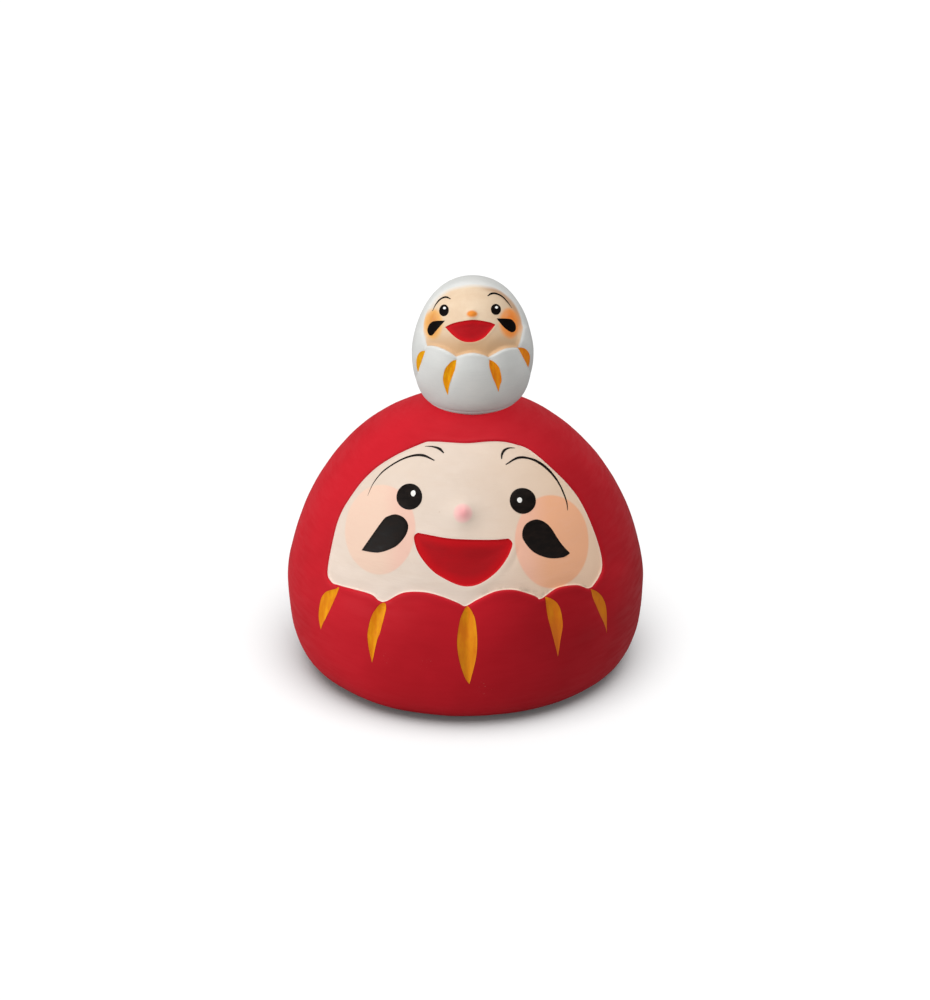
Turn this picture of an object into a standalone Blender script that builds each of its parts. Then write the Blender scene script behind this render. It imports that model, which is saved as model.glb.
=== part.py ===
"""Two stacked daruma dolls: a large squat one carrying a small one on its crown.

Each doll is a papier-mache body in two half shells, closed inside with a paper
strip, weighted with clay and painted.  A loose wooden dowel locates the small
doll on the large one, so it turns and lifts off.

World axes: +Z up, the faces look towards -Y.  The origin is the centre of the
large doll's base.  Sizes below are millimetres; MM turns them into metres.
"""

import math

import bmesh
import bpy
import numpy as np
from mathutils import Vector
from mathutils.geometry import delaunay_2d_cdt

MM = 0.001

# ---------------------------------------------------------------- driving sizes
GAP = 0.3                       # clearance between neighbouring pieces
FILM = 0.3                      # thickness of a paint layer
CHART_TILT = math.radians(24)   # faces are drawn on a plane leaning back this far
SEAM_ANGLE = math.pi / 2        # the half shells meet this far round from the front

LARGE_HEIGHT = 121.5            # dome height before the seat is sanded flat
LARGE_RADIUS = 79.0
LARGE_WIDEST_AT = 39.0
LARGE_FLAT = 51.5               # radius of the flat base
LARGE_BELLY_OUT = 18.0          # how far the profile leaves the base level
LARGE_BELLY_DROP = 35.5         # how far it runs upright below the widest ring
LARGE_DOME_RISE = 21.0          # and above it
LARGE_DOME_SPREAD = 58.0        # how far it stays level round the crown
LARGE_WALL = 2.2
LARGE_OPENING = 24.0            # radius of the hole under the base
LARGE_FACE_DEPTH = 1.5          # the face, mouth and strokes are pressed in this far
LARGE_FACE_WALL = 1.2           # width of the sloping walls round them
LARGE_MOUTH_DEPTH = 0.7
LARGE_GROOVE_DEPTH = 0.6
LOBE_HEIGHT = 1.0               # padding of the robe between its gold strokes
LOBE_REACH = 18.0               # the padding ends this far above the middle stroke
LOBE_FADE = 6.0

SMALL_HEIGHT = 56.6             # from the underside of the foot disc
SMALL_RADIUS = 26.1
SMALL_WIDEST_AT = 24.5
SMALL_FLAT = 17.1
SMALL_BELLY_OUT = 1.2
SMALL_BELLY_RISE = 0.25
SMALL_BELLY_DROP = 18.2
SMALL_DOME_RISE = 3.0
SMALL_DOME_SPREAD = 22.5
SMALL_WALL = 1.5
SMALL_OPENING = 4.0
SMALL_FACE_DEPTH = 0.8
SMALL_FACE_WALL = 0.7
SMALL_MOUTH_DEPTH = 0.4
SMALL_GROOVE_DEPTH = 0.4

SEAT_Z = 119.5                  # underside of the small doll's foot disc
SEAT_X = 3.0                    # the small doll stands off centre
SEAT_RADIUS = 15.0
SEAT_WALL = 0.3                 # width of the step round the seat
FOOT_RADIUS = 14.2
FOOT_TOP = 2.1                  # underside of the small body above the seat

DOWEL_RADIUS = 2.5
BORE_RADIUS = 2.8
DOWEL_FOOT = 106.5
DOWEL_HEAD = 131.0
DOWEL_CHAMFER = 0.6
BORE_CUT = (112.0, 125.0)       # lowest and highest point of the cut through the crown

BASE_DISC_EDGE = 0.5            # the paper disc is this much smaller than its opening
BASE_DISC_THICKNESS = 1.4
WEIGHT_PLUG_EDGE = 1.5          # so is the plug of the clay weight above it
WEIGHT_PLUG_Z = 1.7
WEIGHT_STEPS = [(33.0, 6.0), (28.0, 12.0), (16.0, 17.0), (0, 19.0)]     # (radius, z) of the clay
CROWN_BLOCK_Z = 104.0
CROWN_BLOCK_RADIUS = 13.0
CROWN_BLOCK_PLAY = 1.0          # under the crown
FOOT_CHAMFER = 0.3
SMALL_WEIGHT_RADIUS = 12.0
SMALL_WEIGHT_STEPS = [(12.0, 3.0), (8.0, 7.0), (BORE_RADIUS, 8.0)]      # above the floor of the body

STRIP_THICKNESS = 0.5
LARGE_STRIP_START = 14.0        # outside the base opening
LARGE_STRIP_ENDS = {"left": 20.0, "right": 26.0}                        # crown radii
LARGE_STRIP_HALF_WIDTH = 5.0
SMALL_STRIP_START = 21.0
SMALL_STRIP_END = 6.0
SMALL_STRIP_HALF_WIDTH = 3.0
STRIP_ROW = 8.0

LARGE_SPACING = {"front": 9.0, "back": 10.0, "paint": 6.0, "strokes": 6.0}
SMALL_SPACING = {"front": 4.5, "back": 6.0, "paint": 3.5, "strokes": 3.0}

LATHE_SEGMENTS = 40
BORE_SEGMENTS = 24
LARGEST_EDGE = 0.09             # of a drawn outline, in body radii


# ------------------------------------------------------------------- outlines
def bezier(p0, p1, p2, p3, steps):
    """Points along one cubic curve, both ends included."""
    t = np.linspace(0.0, 1.0, steps + 1)[:, None]
    s = 1.0 - t
    p0, p1, p2, p3 = (np.array(p, dtype=float) for p in (p0, p1, p2, p3))
    return s ** 3 * p0 + 3 * s * s * t * p1 + 3 * s * t * t * p2 + t ** 3 * p3


def ellipse(centre, half_width, half_height, count=18):
    """A closed oval."""
    points = []
    for i in range(count):
        angle = 2 * math.pi * i / count
        u = centre[0] + half_width * math.cos(angle)
        v = centre[1] + half_height * math.sin(angle)
        points.append((u, v))
    return points


def smooth_loop(points, steps=4):
    """A closed curve through the points; a third value of 1 keeps a sharp corner."""
    count = len(points)
    tangents = []
    for i, point in enumerate(points):
        before, after = points[i - 1], points[(i + 1) % count]
        sharp = len(point) > 2
        reach = 0.0 if sharp else 0.5
        tangents.append((reach * (after[0] - before[0]), reach * (after[1] - before[1])))
    loop = []
    for i in range(count):
        p0, p3 = points[i][:2], points[(i + 1) % count][:2]
        t0, t3 = tangents[i], tangents[(i + 1) % count]
        p1 = (p0[0] + t0[0] / 3, p0[1] + t0[1] / 3)
        p2 = (p3[0] - t3[0] / 3, p3[1] - t3[1] / 3)
        loop.extend(tuple(p) for p in bezier(p0, p1, p2, p3, steps)[:-1])
    return loop


def leaf(top, tip, half_width, bow, steps=8):
    """A pointed brush stroke from top to tip, bowed sideways by bow."""
    left, right = [], []
    for i in range(1, steps):
        t = i / steps
        u = top[0] + t * (tip[0] - top[0]) + 4 * t * (1 - t) * bow
        v = top[1] + t * (tip[1] - top[1])
        half = half_width * math.sin(math.pi * t ** 0.85)
        left.append((u - half, v))
        right.append((u + half, v))
    return [tuple(top)] + left + [tuple(tip)] + right[::-1]


def drop(centre, radius, tip, steps=12):
    """A round-headed drop drawn out to a tip."""
    along = math.atan2(tip[1] - centre[1], tip[0] - centre[0])
    points = [tuple(tip)]
    for i in range(steps + 1):
        angle = along + math.radians(70) + math.radians(220) * i / steps
        points.append((centre[0] + radius * math.cos(angle), centre[1] + radius * math.sin(angle)))
    return points


def brush(points, widths, steps=3):
    """A stroke along the points with its half width at each of them."""
    left, right = [], []
    last = len(points) - 1
    for i in range(last * steps + 1):
        t = i / steps
        k = min(int(t), last - 1)
        f = t - k
        a, b = points[k], points[k + 1]
        before = points[max(k - 1, 0)]
        after = points[min(k + 2, last)]
        centre, slope = [], []
        for axis in (0, 1):
            ta = (b[axis] - before[axis]) / 2
            tb = (after[axis] - a[axis]) / 2
            h1, h2 = 2 * f ** 3 - 3 * f * f + 1, f ** 3 - 2 * f * f + f
            h3, h4 = 3 * f * f - 2 * f ** 3, f ** 3 - f * f
            centre.append(h1 * a[axis] + h2 * ta + h3 * b[axis] + h4 * tb)
            slope.append((6 * f * f - 6 * f) * (a[axis] - b[axis])
                         + (3 * f * f - 4 * f + 1) * ta + (3 * f * f - 2 * f) * tb)
        size = math.hypot(*slope)
        half = widths[k] * (1 - f) + widths[k + 1] * f
        side = (-slope[1] / size * half, slope[0] / size * half)
        left.append((centre[0] + side[0], centre[1] + side[1]))
        right.append((centre[0] - side[0], centre[1] - side[1]))
    return left + right[::-1]


def depth_inside(u, v, loop):
    """Distance from the loop, positive inside it."""
    a = np.asarray(loop)
    b = np.roll(a, -1, axis=0)
    p = np.array((u, v))
    ab, ap = b - a, p - a
    t = np.clip((ap * ab).sum(1) / np.maximum((ab * ab).sum(1), 1e-12), 0, 1)
    distance = np.hypot(*(ap - ab * t[:, None]).T).min()
    crossing = (a[:, 1] > v) != (b[:, 1] > v)
    rise = np.where(crossing, b[:, 1] - a[:, 1], 1.0)
    hits = crossing & (u < a[:, 0] + (v - a[:, 1]) / rise * ab[:, 0])
    return distance if hits.sum() % 2 else -distance


def inset(loop, amount):
    """The loop moved inwards by amount (outwards when negative)."""
    points = np.asarray(loop)
    before, after = np.roll(points, 1, axis=0), np.roll(points, -1, axis=0)
    area = (points[:, 0] * after[:, 1] - after[:, 0] * points[:, 1]).sum()
    turn = 1.0 if area > 0 else -1.0
    first = points - before
    second = after - points
    first /= np.hypot(*first.T)[:, None]
    second /= np.hypot(*second.T)[:, None]
    normal = turn * np.column_stack((-first[:, 1] - second[:, 1], first[:, 0] + second[:, 0]))
    size = np.maximum((normal * normal).sum(1) / 2, 0.35)
    moved = points + amount * normal / size[:, None]
    kept = []
    for u, v in moved:
        if abs(depth_inside(u, v, loop)) > abs(amount) * 0.95:
            kept.append((u, v))
    return kept


def held_inside(loop, centre, fence, margin):
    """The loop with every point drawn towards the centre until it is inside the fence."""
    held = []
    for u, v in loop:
        while depth_inside(u, v, fence) < margin:
            u += 0.04 * (centre[0] - u)
            v += 0.04 * (centre[1] - v)
        held.append((u, v))
    return held


# ------------------------------------------------------------------ doll forms
class DollForm:
    """The outer form of one doll: a turned profile with a face pressed into its front.

    A place on it is (angle, arc): the angle round from the front and the length
    along the profile from the centre of the base.  Drawings use chart
    coordinates (u, v): u across the face, v up the leaning drawing plane.
    """

    def __init__(self, centre_x, base_z, flat_z, lower, upper, seat=None):
        self.centre_x = centre_x
        self.base_z = base_z
        self.seat = seat
        self.face = self.mouth = None
        self.grooves = []
        self.face_depth = self.face_wall = self.mouth_depth = self.groove_depth = 0.0
        self.puff_height = 0.0
        self.crease_lines = []
        points = np.vstack(([(0.0, flat_z)], lower, upper[1:]))
        steps = np.hypot(*np.diff(points, axis=0).T)
        self.radii, self.heights = points.T
        self.arcs = np.concatenate(([0.0], np.cumsum(steps)))
        slope = np.gradient(points, self.arcs, axis=0)
        slope[0] = (1.0, 0.0)
        slope[-1] = (-1.0, 0.0)
        slope /= np.hypot(*slope.T)[:, None]
        self.normals = np.column_stack((slope[:, 1], -slope[:, 0]))
        self.length = self.arcs[-1]
        self.top = self.heights[-1]

    def radius(self, arc):
        return float(np.interp(arc, self.arcs, self.radii))

    def arc_at_height(self, z):
        return float(np.interp(z, self.heights[1:], self.arcs[1:]))

    def arc_at_crown_radius(self, r):
        upper = self.radii.argmax()
        return float(np.interp(-r, -self.radii[upper:], self.arcs[upper:]))

    def arc_at_chart(self, u, v):
        """The (angle, arc) that the chart point (u, v) falls on, seen from the front."""
        cos, sin = math.cos(CHART_TILT), math.sin(CHART_TILT)

        def place(w):
            return w * cos + v * sin, v * cos - w * sin

        def inside(w):
            y, z = place(w)
            if not self.heights[1] < z < self.top:
                return False
            return math.hypot(u, y) < np.interp(z, self.heights[1:], self.radii[1:])

        near = -2 * self.radii.max()
        step = self.radii.max() / 60
        while not inside(near + step):
            near += step
        far = near + step
        for _ in range(30):
            middle = (near + far) / 2
            if inside(middle):
                far = middle
            else:
                near = middle
        y, z = place(far)
        return math.atan2(u, -y), self.arc_at_height(z)

    def chart(self, angle, arc):
        r, z = np.interp(arc, self.arcs, self.radii), np.interp(arc, self.arcs, self.heights)
        y = -r * math.cos(angle)
        return r * math.sin(angle), z * math.cos(CHART_TILT) + y * math.sin(CHART_TILT)

    def puff(self, u, v):
        """Height of the padded robe lobes between the gold strokes."""
        if not self.puff_height:
            return 0.0
        creases = []
        for top, tip in self.crease_lines:
            t = (top[1] - v) / (top[1] - tip[1])
            creases.append(top[0] + t * (tip[0] - top[0]))
        high = self.crease_lines[len(creases) // 2][0][1]
        low = self.crease_lines[len(creases) // 2][1][1]
        fade = min(max((v - low) / (high - low), 0.0), 1.0)
        fade *= min(max((high + LOBE_REACH - v) / LOBE_FADE, 0.0), 1.0)
        for left, right in zip(creases, creases[1:]):
            if left < u < right:
                return self.puff_height * fade * math.sqrt(math.sin(math.pi * (u - left) / (right - left)))
        return 0.0

    def relief(self, angle, arc):
        """Height of the surface over the turned profile."""
        if abs(angle) > math.radians(85):
            return 0.0
        u, v = self.chart(angle, arc)
        height = self.puff(u, v)
        for groove in self.grooves:
            t = min(max(1.0 + depth_inside(u, v, groove) / self.face_wall, 0.0), 1.0)
            height += t * (-self.groove_depth - height)
        t = min(max(depth_inside(u, v, self.face) / self.face_wall, 0.0), 1.0)
        height += t * (-self.face_depth - height)
        t = min(max(depth_inside(u, v, self.mouth) / self.face_wall, 0.0), 1.0)
        return height - t * self.mouth_depth

    def point(self, angle, arc, lift):
        """The place in millimetres, lifted off the surface along its normal."""
        r, z = np.interp(arc, self.arcs, self.radii), np.interp(arc, self.arcs, self.heights)
        nr, nz = (np.interp(arc, self.arcs, column) for column in self.normals.T)
        height = lift + (self.relief(angle, arc) if self.face else 0.0)
        r, z = r + nr * height, z + nz * height
        x, y = r * math.sin(angle), -r * math.cos(angle)
        if self.seat:
            seat_x, seat_z, seat_radius, wall = self.seat
            spread = math.hypot(x - seat_x, y)
            t = min(max((seat_radius - spread) / wall, 0.0), 1.0)
            z += t * (min(z, seat_z + lift) - z)
        return x + self.centre_x, y, z + self.base_z


def large_form():
    lower = bezier((LARGE_FLAT, 0), (LARGE_FLAT + LARGE_BELLY_OUT, 0),
                   (LARGE_RADIUS, LARGE_WIDEST_AT - LARGE_BELLY_DROP), (LARGE_RADIUS, LARGE_WIDEST_AT), 60)
    upper = bezier((LARGE_RADIUS, LARGE_WIDEST_AT), (LARGE_RADIUS, LARGE_WIDEST_AT + LARGE_DOME_RISE),
                   (LARGE_DOME_SPREAD, LARGE_HEIGHT), (0, LARGE_HEIGHT), 100)
    form = DollForm(0.0, 0.0, 0.0, lower, upper, (SEAT_X, SEAT_Z - GAP, SEAT_RADIUS, SEAT_WALL))
    form.face_depth, form.face_wall = LARGE_FACE_DEPTH, LARGE_FACE_WALL
    form.mouth_depth, form.groove_depth = LARGE_MOUTH_DEPTH, LARGE_GROOVE_DEPTH
    form.puff_height = LOBE_HEIGHT
    return form


def small_form():
    lower = bezier((SMALL_FLAT, FOOT_TOP), (SMALL_FLAT + SMALL_BELLY_OUT, FOOT_TOP + SMALL_BELLY_RISE),
                   (SMALL_RADIUS, SMALL_WIDEST_AT - SMALL_BELLY_DROP), (SMALL_RADIUS, SMALL_WIDEST_AT), 40)
    upper = bezier((SMALL_RADIUS, SMALL_WIDEST_AT), (SMALL_RADIUS, SMALL_WIDEST_AT + SMALL_DOME_RISE),
                   (SMALL_DOME_SPREAD, SMALL_HEIGHT), (0, SMALL_HEIGHT), 60)
    form = DollForm(SEAT_X, SEAT_Z, FOOT_TOP, lower, upper)
    form.face_depth, form.face_wall = SMALL_FACE_DEPTH, SMALL_FACE_WALL
    form.mouth_depth, form.groove_depth = SMALL_MOUTH_DEPTH, SMALL_GROOVE_DEPTH
    return form


# --------------------------------------------------------------- face drawings
# Chart coordinates in millimetres, from each doll's own axis and base.
LARGE_FACE = [(-10, 92.1), (0, 91.2), (14.5, 92.3), (25, 89.4), (34.3, 82.9), (42.8, 74.4),
              (50.4, 63.1), (56.2, 49), (58, 37.5), (52.9, 29.8, 1), (43.3, 32), (31.4, 26.6, 1),
              (20, 30), (10, 28.7), (0, 23.5, 1), (-10, 27.6), (-19.8, 29.3), (-34.7, 25.1, 1),
              (-47.7, 31), (-55, 31.5, 1), (-58.3, 38), (-56.4, 49), (-51.8, 63.2), (-44.3, 75),
              (-35.2, 83.4), (-25, 88.9)]
LARGE_MOUTH = [(-22, 52.2), (-19.5, 53.6), (-10.9, 52.4), (-0.7, 51.3), (8.3, 51.1), (17.6, 51.2),
               (20.1, 48.6), (17.6, 44.2), (11.3, 36.8), (1, 31.4), (-6.9, 33.3), (-14.8, 38.3)]
LARGE_STROKES = [((-54, 29.2), (-62.1, 12), 2.7, -2.1), ((-33.4, 22.5), (-39.4, -1.4), 2.7, -2.0),
                 ((0.6, 21), (1.6, -9.7), 4.1, -0.3), ((33.3, 25), (38.9, 1.3), 2.7, 2.1),
                 ((53, 28.4), (60.3, 10.2), 2.4, 1.7)]
LARGE_CHEEKS = {"left": ((-36.9, 55), 16, 19.4), "right": ((36.9, 50), 16.3, 20.2)}
LARGE_EYES = {"left": ((-23.8, 68.9), 5.5, 5.5), "right": ((24.3, 67.4), 5.6, 5.4)}
LARGE_GLINTS = {"left": (-22.3, 70.4), "right": (22.9, 67.5)}
LARGE_WHISKERS = {"left": ((-28.5, 57.6), 4.6, (-43.9, 46.2)), "right": ((28.5, 55), 4.7, (44.4, 45.1))}
LARGE_BROWS = {
    "left_inner": ([(-17.2, 89.4), (-13.1, 88.8), (-9.5, 87.4)], [0.25, 0.6, 0.7]),
    "left_outer": ([(-13.2, 84.2), (-20.5, 86.6), (-28.6, 83.8), (-36.2, 78.6), (-41.4, 70)],
                   [0.75, 0.6, 0.5, 0.4, 0.25]),
    "right_inner": ([(15.5, 85.2), (17, 88.2), (20.4, 88.9)], [0.7, 0.5, 0.25]),
    "right_outer": ([(17.3, 82.7), (24.1, 85.6), (31, 83), (37.5, 77.6), (41.6, 71), (43.3, 63.1)],
                    [0.75, 0.6, 0.5, 0.5, 0.4, 0.25]),
}
LARGE_NOSE = ((-1, 62.2), 4.4, 4.6)

SMALL_FACE = [(0, 48.8), (-7.2, 47.6), (-14, 44.4), (-18.9, 37.5), (-20.4, 31.4), (-19.7, 23.8, 1),
              (-13.5, 22), (-7, 17.6, 1), (0.1, 19.3), (6.6, 17.5, 1), (15.1, 21.9), (19.1, 22.4, 1),
              (21, 31.4), (18.7, 37.9), (13.4, 44.9), (7.3, 47.8)]
SMALL_MOUTH = [(-11.8, 30.2, 1), (-6.1, 32.4), (0.1, 33.3), (4.9, 32.7), (9.8, 31.3, 1),
               (4.9, 26), (-1.6, 23.7), (-7.8, 26.4)]
SMALL_STROKES = [((-20.3, 20.4), (-23.3, 12.3), 1.3, -0.8), ((-6.9, 15.9), (-10.2, 2.4), 1.9, -1.8),
                 ((6.8, 15.9), (10.3, 3.7), 1.9, 1.5), ((19.4, 21), (23.7, 14.3), 1.3, 1.2)]
SMALL_CHEEKS = {"left": ((-16.6, 31.6), 3, 6), "right": ((16.4, 32), 3.6, 6)}
SMALL_EYES = {"left": ((-12, 37.4), 2.1, 2.6), "right": ((9.7, 37.7), 2.2, 2.3)}
SMALL_GLINTS = {"left": (-11.9, 38.2), "right": (9.7, 38.5)}
SMALL_WHISKERS = {"left": ((-16.4, 30.2), 2, (-12.3, 33)), "right": ((15.6, 31), 2, (10.2, 33.8))}
SMALL_BROWS = {
    "left": ([(-15.9, 39.3), (-14.4, 41.8), (-11.4, 43.2), (-9.3, 42.4)], [0.15, 0.25, 0.3, 0.3]),
    "right": ([(6.5, 43.4), (9.3, 44.3), (13.1, 42.6), (15.9, 39)], [0.3, 0.3, 0.25, 0.15]),
}
SMALL_NOSE = ((-0.1, 35.5), 2.6, 1.5)

COLOURS = {
    "red": ((190, 30, 40), 0.62), "white": ((222, 222, 219), 0.6), "cream": ((238, 218, 198), 0.6),
    "blush": ((240, 200, 180), 0.65), "apricot": ((240, 180, 120), 0.65), "mouth": ((182, 26, 32), 0.55),
    "pink": ((230, 170, 163), 0.55), "ochre": ((204, 122, 44), 0.55), "black": ((26, 20, 17), 0.4),
    "gold": ((228, 150, 26), 0.45), "paper": ((216, 200, 170), 0.9), "clay": ((150, 105, 78), 0.95),
    "wood": ((200, 165, 115), 0.75),
}


# -------------------------------------------------------------- mesh and scene
def clear_scene():
    for item in list(bpy.data.objects):
        bpy.data.objects.remove(item, do_unlink=True)


def linear(channel):
    value = channel / 255
    return value / 12.92 if value <= 0.04045 else ((value + 0.055) / 1.055) ** 2.4


def new_material(name, colour):
    rgb, roughness = COLOURS[colour]
    material = bpy.data.materials.new(name)
    material.use_nodes = True
    shader = material.node_tree.nodes["Principled BSDF"]
    shader.inputs["Base Color"].default_value = (*(linear(c) for c in rgb), 1.0)
    shader.inputs["Roughness"].default_value = roughness
    shader.inputs["Metallic"].default_value = 0.0
    return material


def add_object(name, points, faces, colour, pivot=None):
    """A closed piece from points in millimetres, its origin on the pivot if it has one."""
    origin = pivot.location if pivot else Vector((0, 0, 0))
    mesh = bpy.data.meshes.new(name)
    mesh.from_pydata([Vector(p) * MM - origin for p in points], [], faces)
    body = bmesh.new()
    body.from_mesh(mesh)
    bmesh.ops.recalc_face_normals(body, faces=body.faces)
    body.to_mesh(mesh)
    body.free()
    mesh.shade_smooth()
    mesh.set_sharp_from_angle(angle=math.radians(40))
    mesh.materials.append(new_material(name, colour))
    item = bpy.data.objects.new(name, mesh)
    bpy.context.collection.objects.link(item)
    item.parent = pivot
    return item


def add_pivot(name, x, z):
    pivot = bpy.data.objects.new(name, None)
    pivot.location = (x * MM, 0, z * MM)
    bpy.context.collection.objects.link(pivot)
    return pivot


def lathe(name, profile, colour, centre_x=0.0, pivot=None, segments=LATHE_SEGMENTS):
    """A turned piece; the profile is a closed run of (radius, z), on the axis where radius is 0."""
    points, rings = [], []
    for radius, z in profile:
        if radius == 0:
            rings.append([len(points)] * segments)
            points.append((centre_x, 0, z))
            continue
        rings.append(list(range(len(points), len(points) + segments)))
        for i in range(segments):
            angle = 2 * math.pi * i / segments
            points.append((centre_x + radius * math.cos(angle), radius * math.sin(angle), z))
    faces = []
    for first, second in zip(rings, rings[1:] + rings[:1]):
        for i in range(segments):
            j = (i + 1) % segments
            corners = list(dict.fromkeys((first[i], first[j], second[j], second[i])))
            if len(corners) > 2:
                faces.append(corners)
    return add_object(name, points, faces, colour, pivot)


def far_from(points, lines, distance):
    """The points that keep their distance from every line."""
    kept = points
    for line in lines:
        a, b = np.asarray(line[:-1]), np.asarray(line[1:])
        ab = b - a
        square = np.maximum((ab * ab).sum(1), 1e-12)
        ap = kept[:, None, :] - a[None, :, :]
        t = np.clip((ap * ab).sum(2) / square, 0, 1)
        gap = np.hypot(*np.moveaxis(ap - ab * t[:, :, None], 2, 0)).min(1)
        kept = kept[gap > distance]
    return kept


def triangulate(border, lines, spacing):
    """Flat points and triangles that fill the border and keep to the lines."""
    border = [tuple(p) for p in border]
    fence = border + border[:1]
    low, high = np.min(border, axis=0), np.max(border, axis=0)
    rows = []
    for k, y in enumerate(np.arange(low[1], high[1], spacing * 0.87)):
        xs = np.arange(low[0] + (k % 2) * spacing / 2, high[0], spacing)
        rows.append(np.column_stack((xs, np.full(len(xs), y))))
    inside = np.array([p for p in np.vstack(rows) if depth_inside(*p, border) > 0]).reshape(-1, 2)
    inside = far_from(inside, [fence] + lines, spacing * 0.5)
    coordinates, edges = [], []
    for line in [fence] + lines:
        start = len(coordinates)
        closed = tuple(line[0]) == tuple(line[-1])
        used = line[:-1] if closed else line
        coordinates.extend(Vector(p) for p in used)
        edges.extend((start + i, start + i + 1) for i in range(len(used) - 1))
        if closed:
            edges.append((start + len(used) - 1, start))
    coordinates.extend(Vector(p) for p in inside)
    points, _, faces, *_ = delaunay_2d_cdt(coordinates, edges, [], 1, 1e-4)
    return points, faces


def wrapped_solid(name, form, meridian, flat, faces, outer, inner, colour, pivot=None, shift_y=0.0):
    """A thick sheet over the form, between the lifts outer(u, v) and inner."""
    count = len(flat)
    top, bottom = [], []
    for a, b in flat:
        angle = meridian + a / max(form.radius(b), 1e-6)
        angle = (angle + math.pi) % (2 * math.pi) - math.pi
        for side, lift in ((top, outer(a, b)), (bottom, inner)):
            x, y, z = form.point(angle, b, lift)
            side.append((x, y + shift_y, z))
    solid = [tuple(face) for face in faces]
    solid += [tuple(count + i for i in reversed(face)) for face in faces]
    sides = {}
    for face in faces:
        for i, start in enumerate(face):
            end = face[(i + 1) % len(face)]
            sides[(start, end)] = True
    for start, end in sides:
        if (end, start) not in sides:
            solid.append((end, start, count + start))
            solid.append((end, count + start, count + end))
    return add_object(name, top + bottom, solid, colour, pivot)


def subdivided(loop, step):
    """The closed loop with its long edges split into steps."""
    points = []
    for start, end in zip(loop, loop[1:] + loop[:1]):
        count = max(math.ceil(math.dist(start, end) / step), 1)
        for i in range(count):
            t = i / count
            points.append((start[0] + t * (end[0] - start[0]), start[1] + t * (end[1] - start[1])))
    return points


def to_flat(form, chart_loop):
    """Chart points laid out on the unrolled surface (angle times radius, arc)."""
    flat = []
    for u, v in subdivided(chart_loop, LARGEST_EDGE * form.radii.max()):
        angle, arc = form.arc_at_chart(u, v)
        flat.append((angle * form.radius(arc), arc))
    return flat


def closed(loop):
    return list(loop) + [loop[0]]


def seat_rings(form):
    _, _, radius, wall = form.seat
    return radius, radius - wall


def shell_border(form, opening, spacing, front):
    """The unrolled edge of a half shell, from its base opening to the crown."""
    def seam(side):
        up = int((form.length - opening) / spacing)
        arcs = [opening + (form.length - opening) * i / up for i in range(up)]
        if form.seat:
            east = side if front else -side
            for ring in seat_rings(form):
                arcs.append(form.arc_at_crown_radius(abs(east * form.seat[0] + ring)))
        return [(side * SEAM_ANGLE * form.radius(arc), arc) for arc in sorted(arcs)]

    across = LATHE_SEGMENTS // 2
    edge = SEAM_ANGLE * form.radius(opening)
    border = [(edge * (2 * i / across - 1), opening) for i in range(across)]
    return border + seam(1) + [(0.0, form.length)] + seam(-1)[:0:-1]


def seat_lines(form, front):
    """The rim of the flat seat on one half of the crown, top and foot of its wall."""
    lines = []
    for ring in seat_rings(form):
        line = []
        for i in range(17):
            turn = math.pi * i / 16
            x = form.seat[0] + ring * math.cos(turn)
            y = ring * math.sin(turn)
            arc = form.arc_at_crown_radius(math.hypot(x, y))
            angle = math.atan2(x, y)
            line.append(((angle if front else -angle) * form.radius(arc), arc))
        lines.append(line)
    return lines


def half_shell(name, form, front, opening, wall, spacing, colour, pivot=None):
    """One moulded half of a body, with the face pressed into the front one."""
    border = shell_border(form, opening, spacing, front)
    lines = seat_lines(form, front) if form.seat else []
    if front:
        for loop in [form.face, form.mouth]:
            lines += [closed(to_flat(form, loop)), closed(to_flat(form, inset(loop, form.face_wall)))]
        for loop in form.grooves:
            lines += [closed(to_flat(form, loop)), closed(to_flat(form, inset(loop, -form.face_wall)))]
    flat, faces = triangulate(border, lines, spacing)
    shift = -GAP / 2 if front else GAP / 2
    meridian = 0.0 if front else math.pi
    return wrapped_solid(name, form, meridian, flat, faces, lambda a, b: 0.0, -wall, colour, pivot, shift)


def film(name, form, loop, level, colour, spacing, pivot=None, hole=None, dome=0.0, reach=1.0):
    """A paint layer inside the loop, on the given level over the moulded surface."""
    border = to_flat(form, loop)
    lines = [closed(to_flat(form, hole))] if hole else []
    flat, faces = triangulate(border, lines, spacing)
    if hole:
        cut = lines[0][:-1]
        kept = []
        for face in faces:
            middle = sum((flat[i] for i in face), Vector((0, 0))) / len(face)
            if depth_inside(*middle, cut) < 0:
                kept.append(face)
        used = sorted({i for face in kept for i in face})
        order = {old: new for new, old in enumerate(used)}
        flat = [flat[i] for i in used]
        faces = [[order[i] for i in face] for face in kept]
    lift = GAP + level * (FILM + GAP)

    def outer(a, b):
        t = min(max(depth_inside(a, b, border) / reach, 0.0), 1.0)
        return lift + FILM + dome * math.sin(t * math.pi / 2)

    return wrapped_solid(name, form, 0.0, flat, faces, outer, lift, colour, pivot)


def seam_strip(name, form, side, start, end, wall, half_width, pivot=None):
    """A pasted paper strip behind one side of the seam."""
    rows = max(int((end - start) / STRIP_ROW), 4)
    flat, faces = [], []
    for i in range(rows + 1):
        arc = start + (end - start) * i / rows
        flat.extend((half_width * (k - 1), arc) for k in range(3))
    for i in range(rows):
        for k in range(2):
            a = 3 * i + k
            faces.append((a, a + 1, a + 4, a + 3))
    lift = -wall - 3 * GAP
    return wrapped_solid(name, form, side * SEAM_ANGLE, flat, faces, lambda a, b: lift,
                         lift - STRIP_THICKNESS, "paper", pivot)


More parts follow.
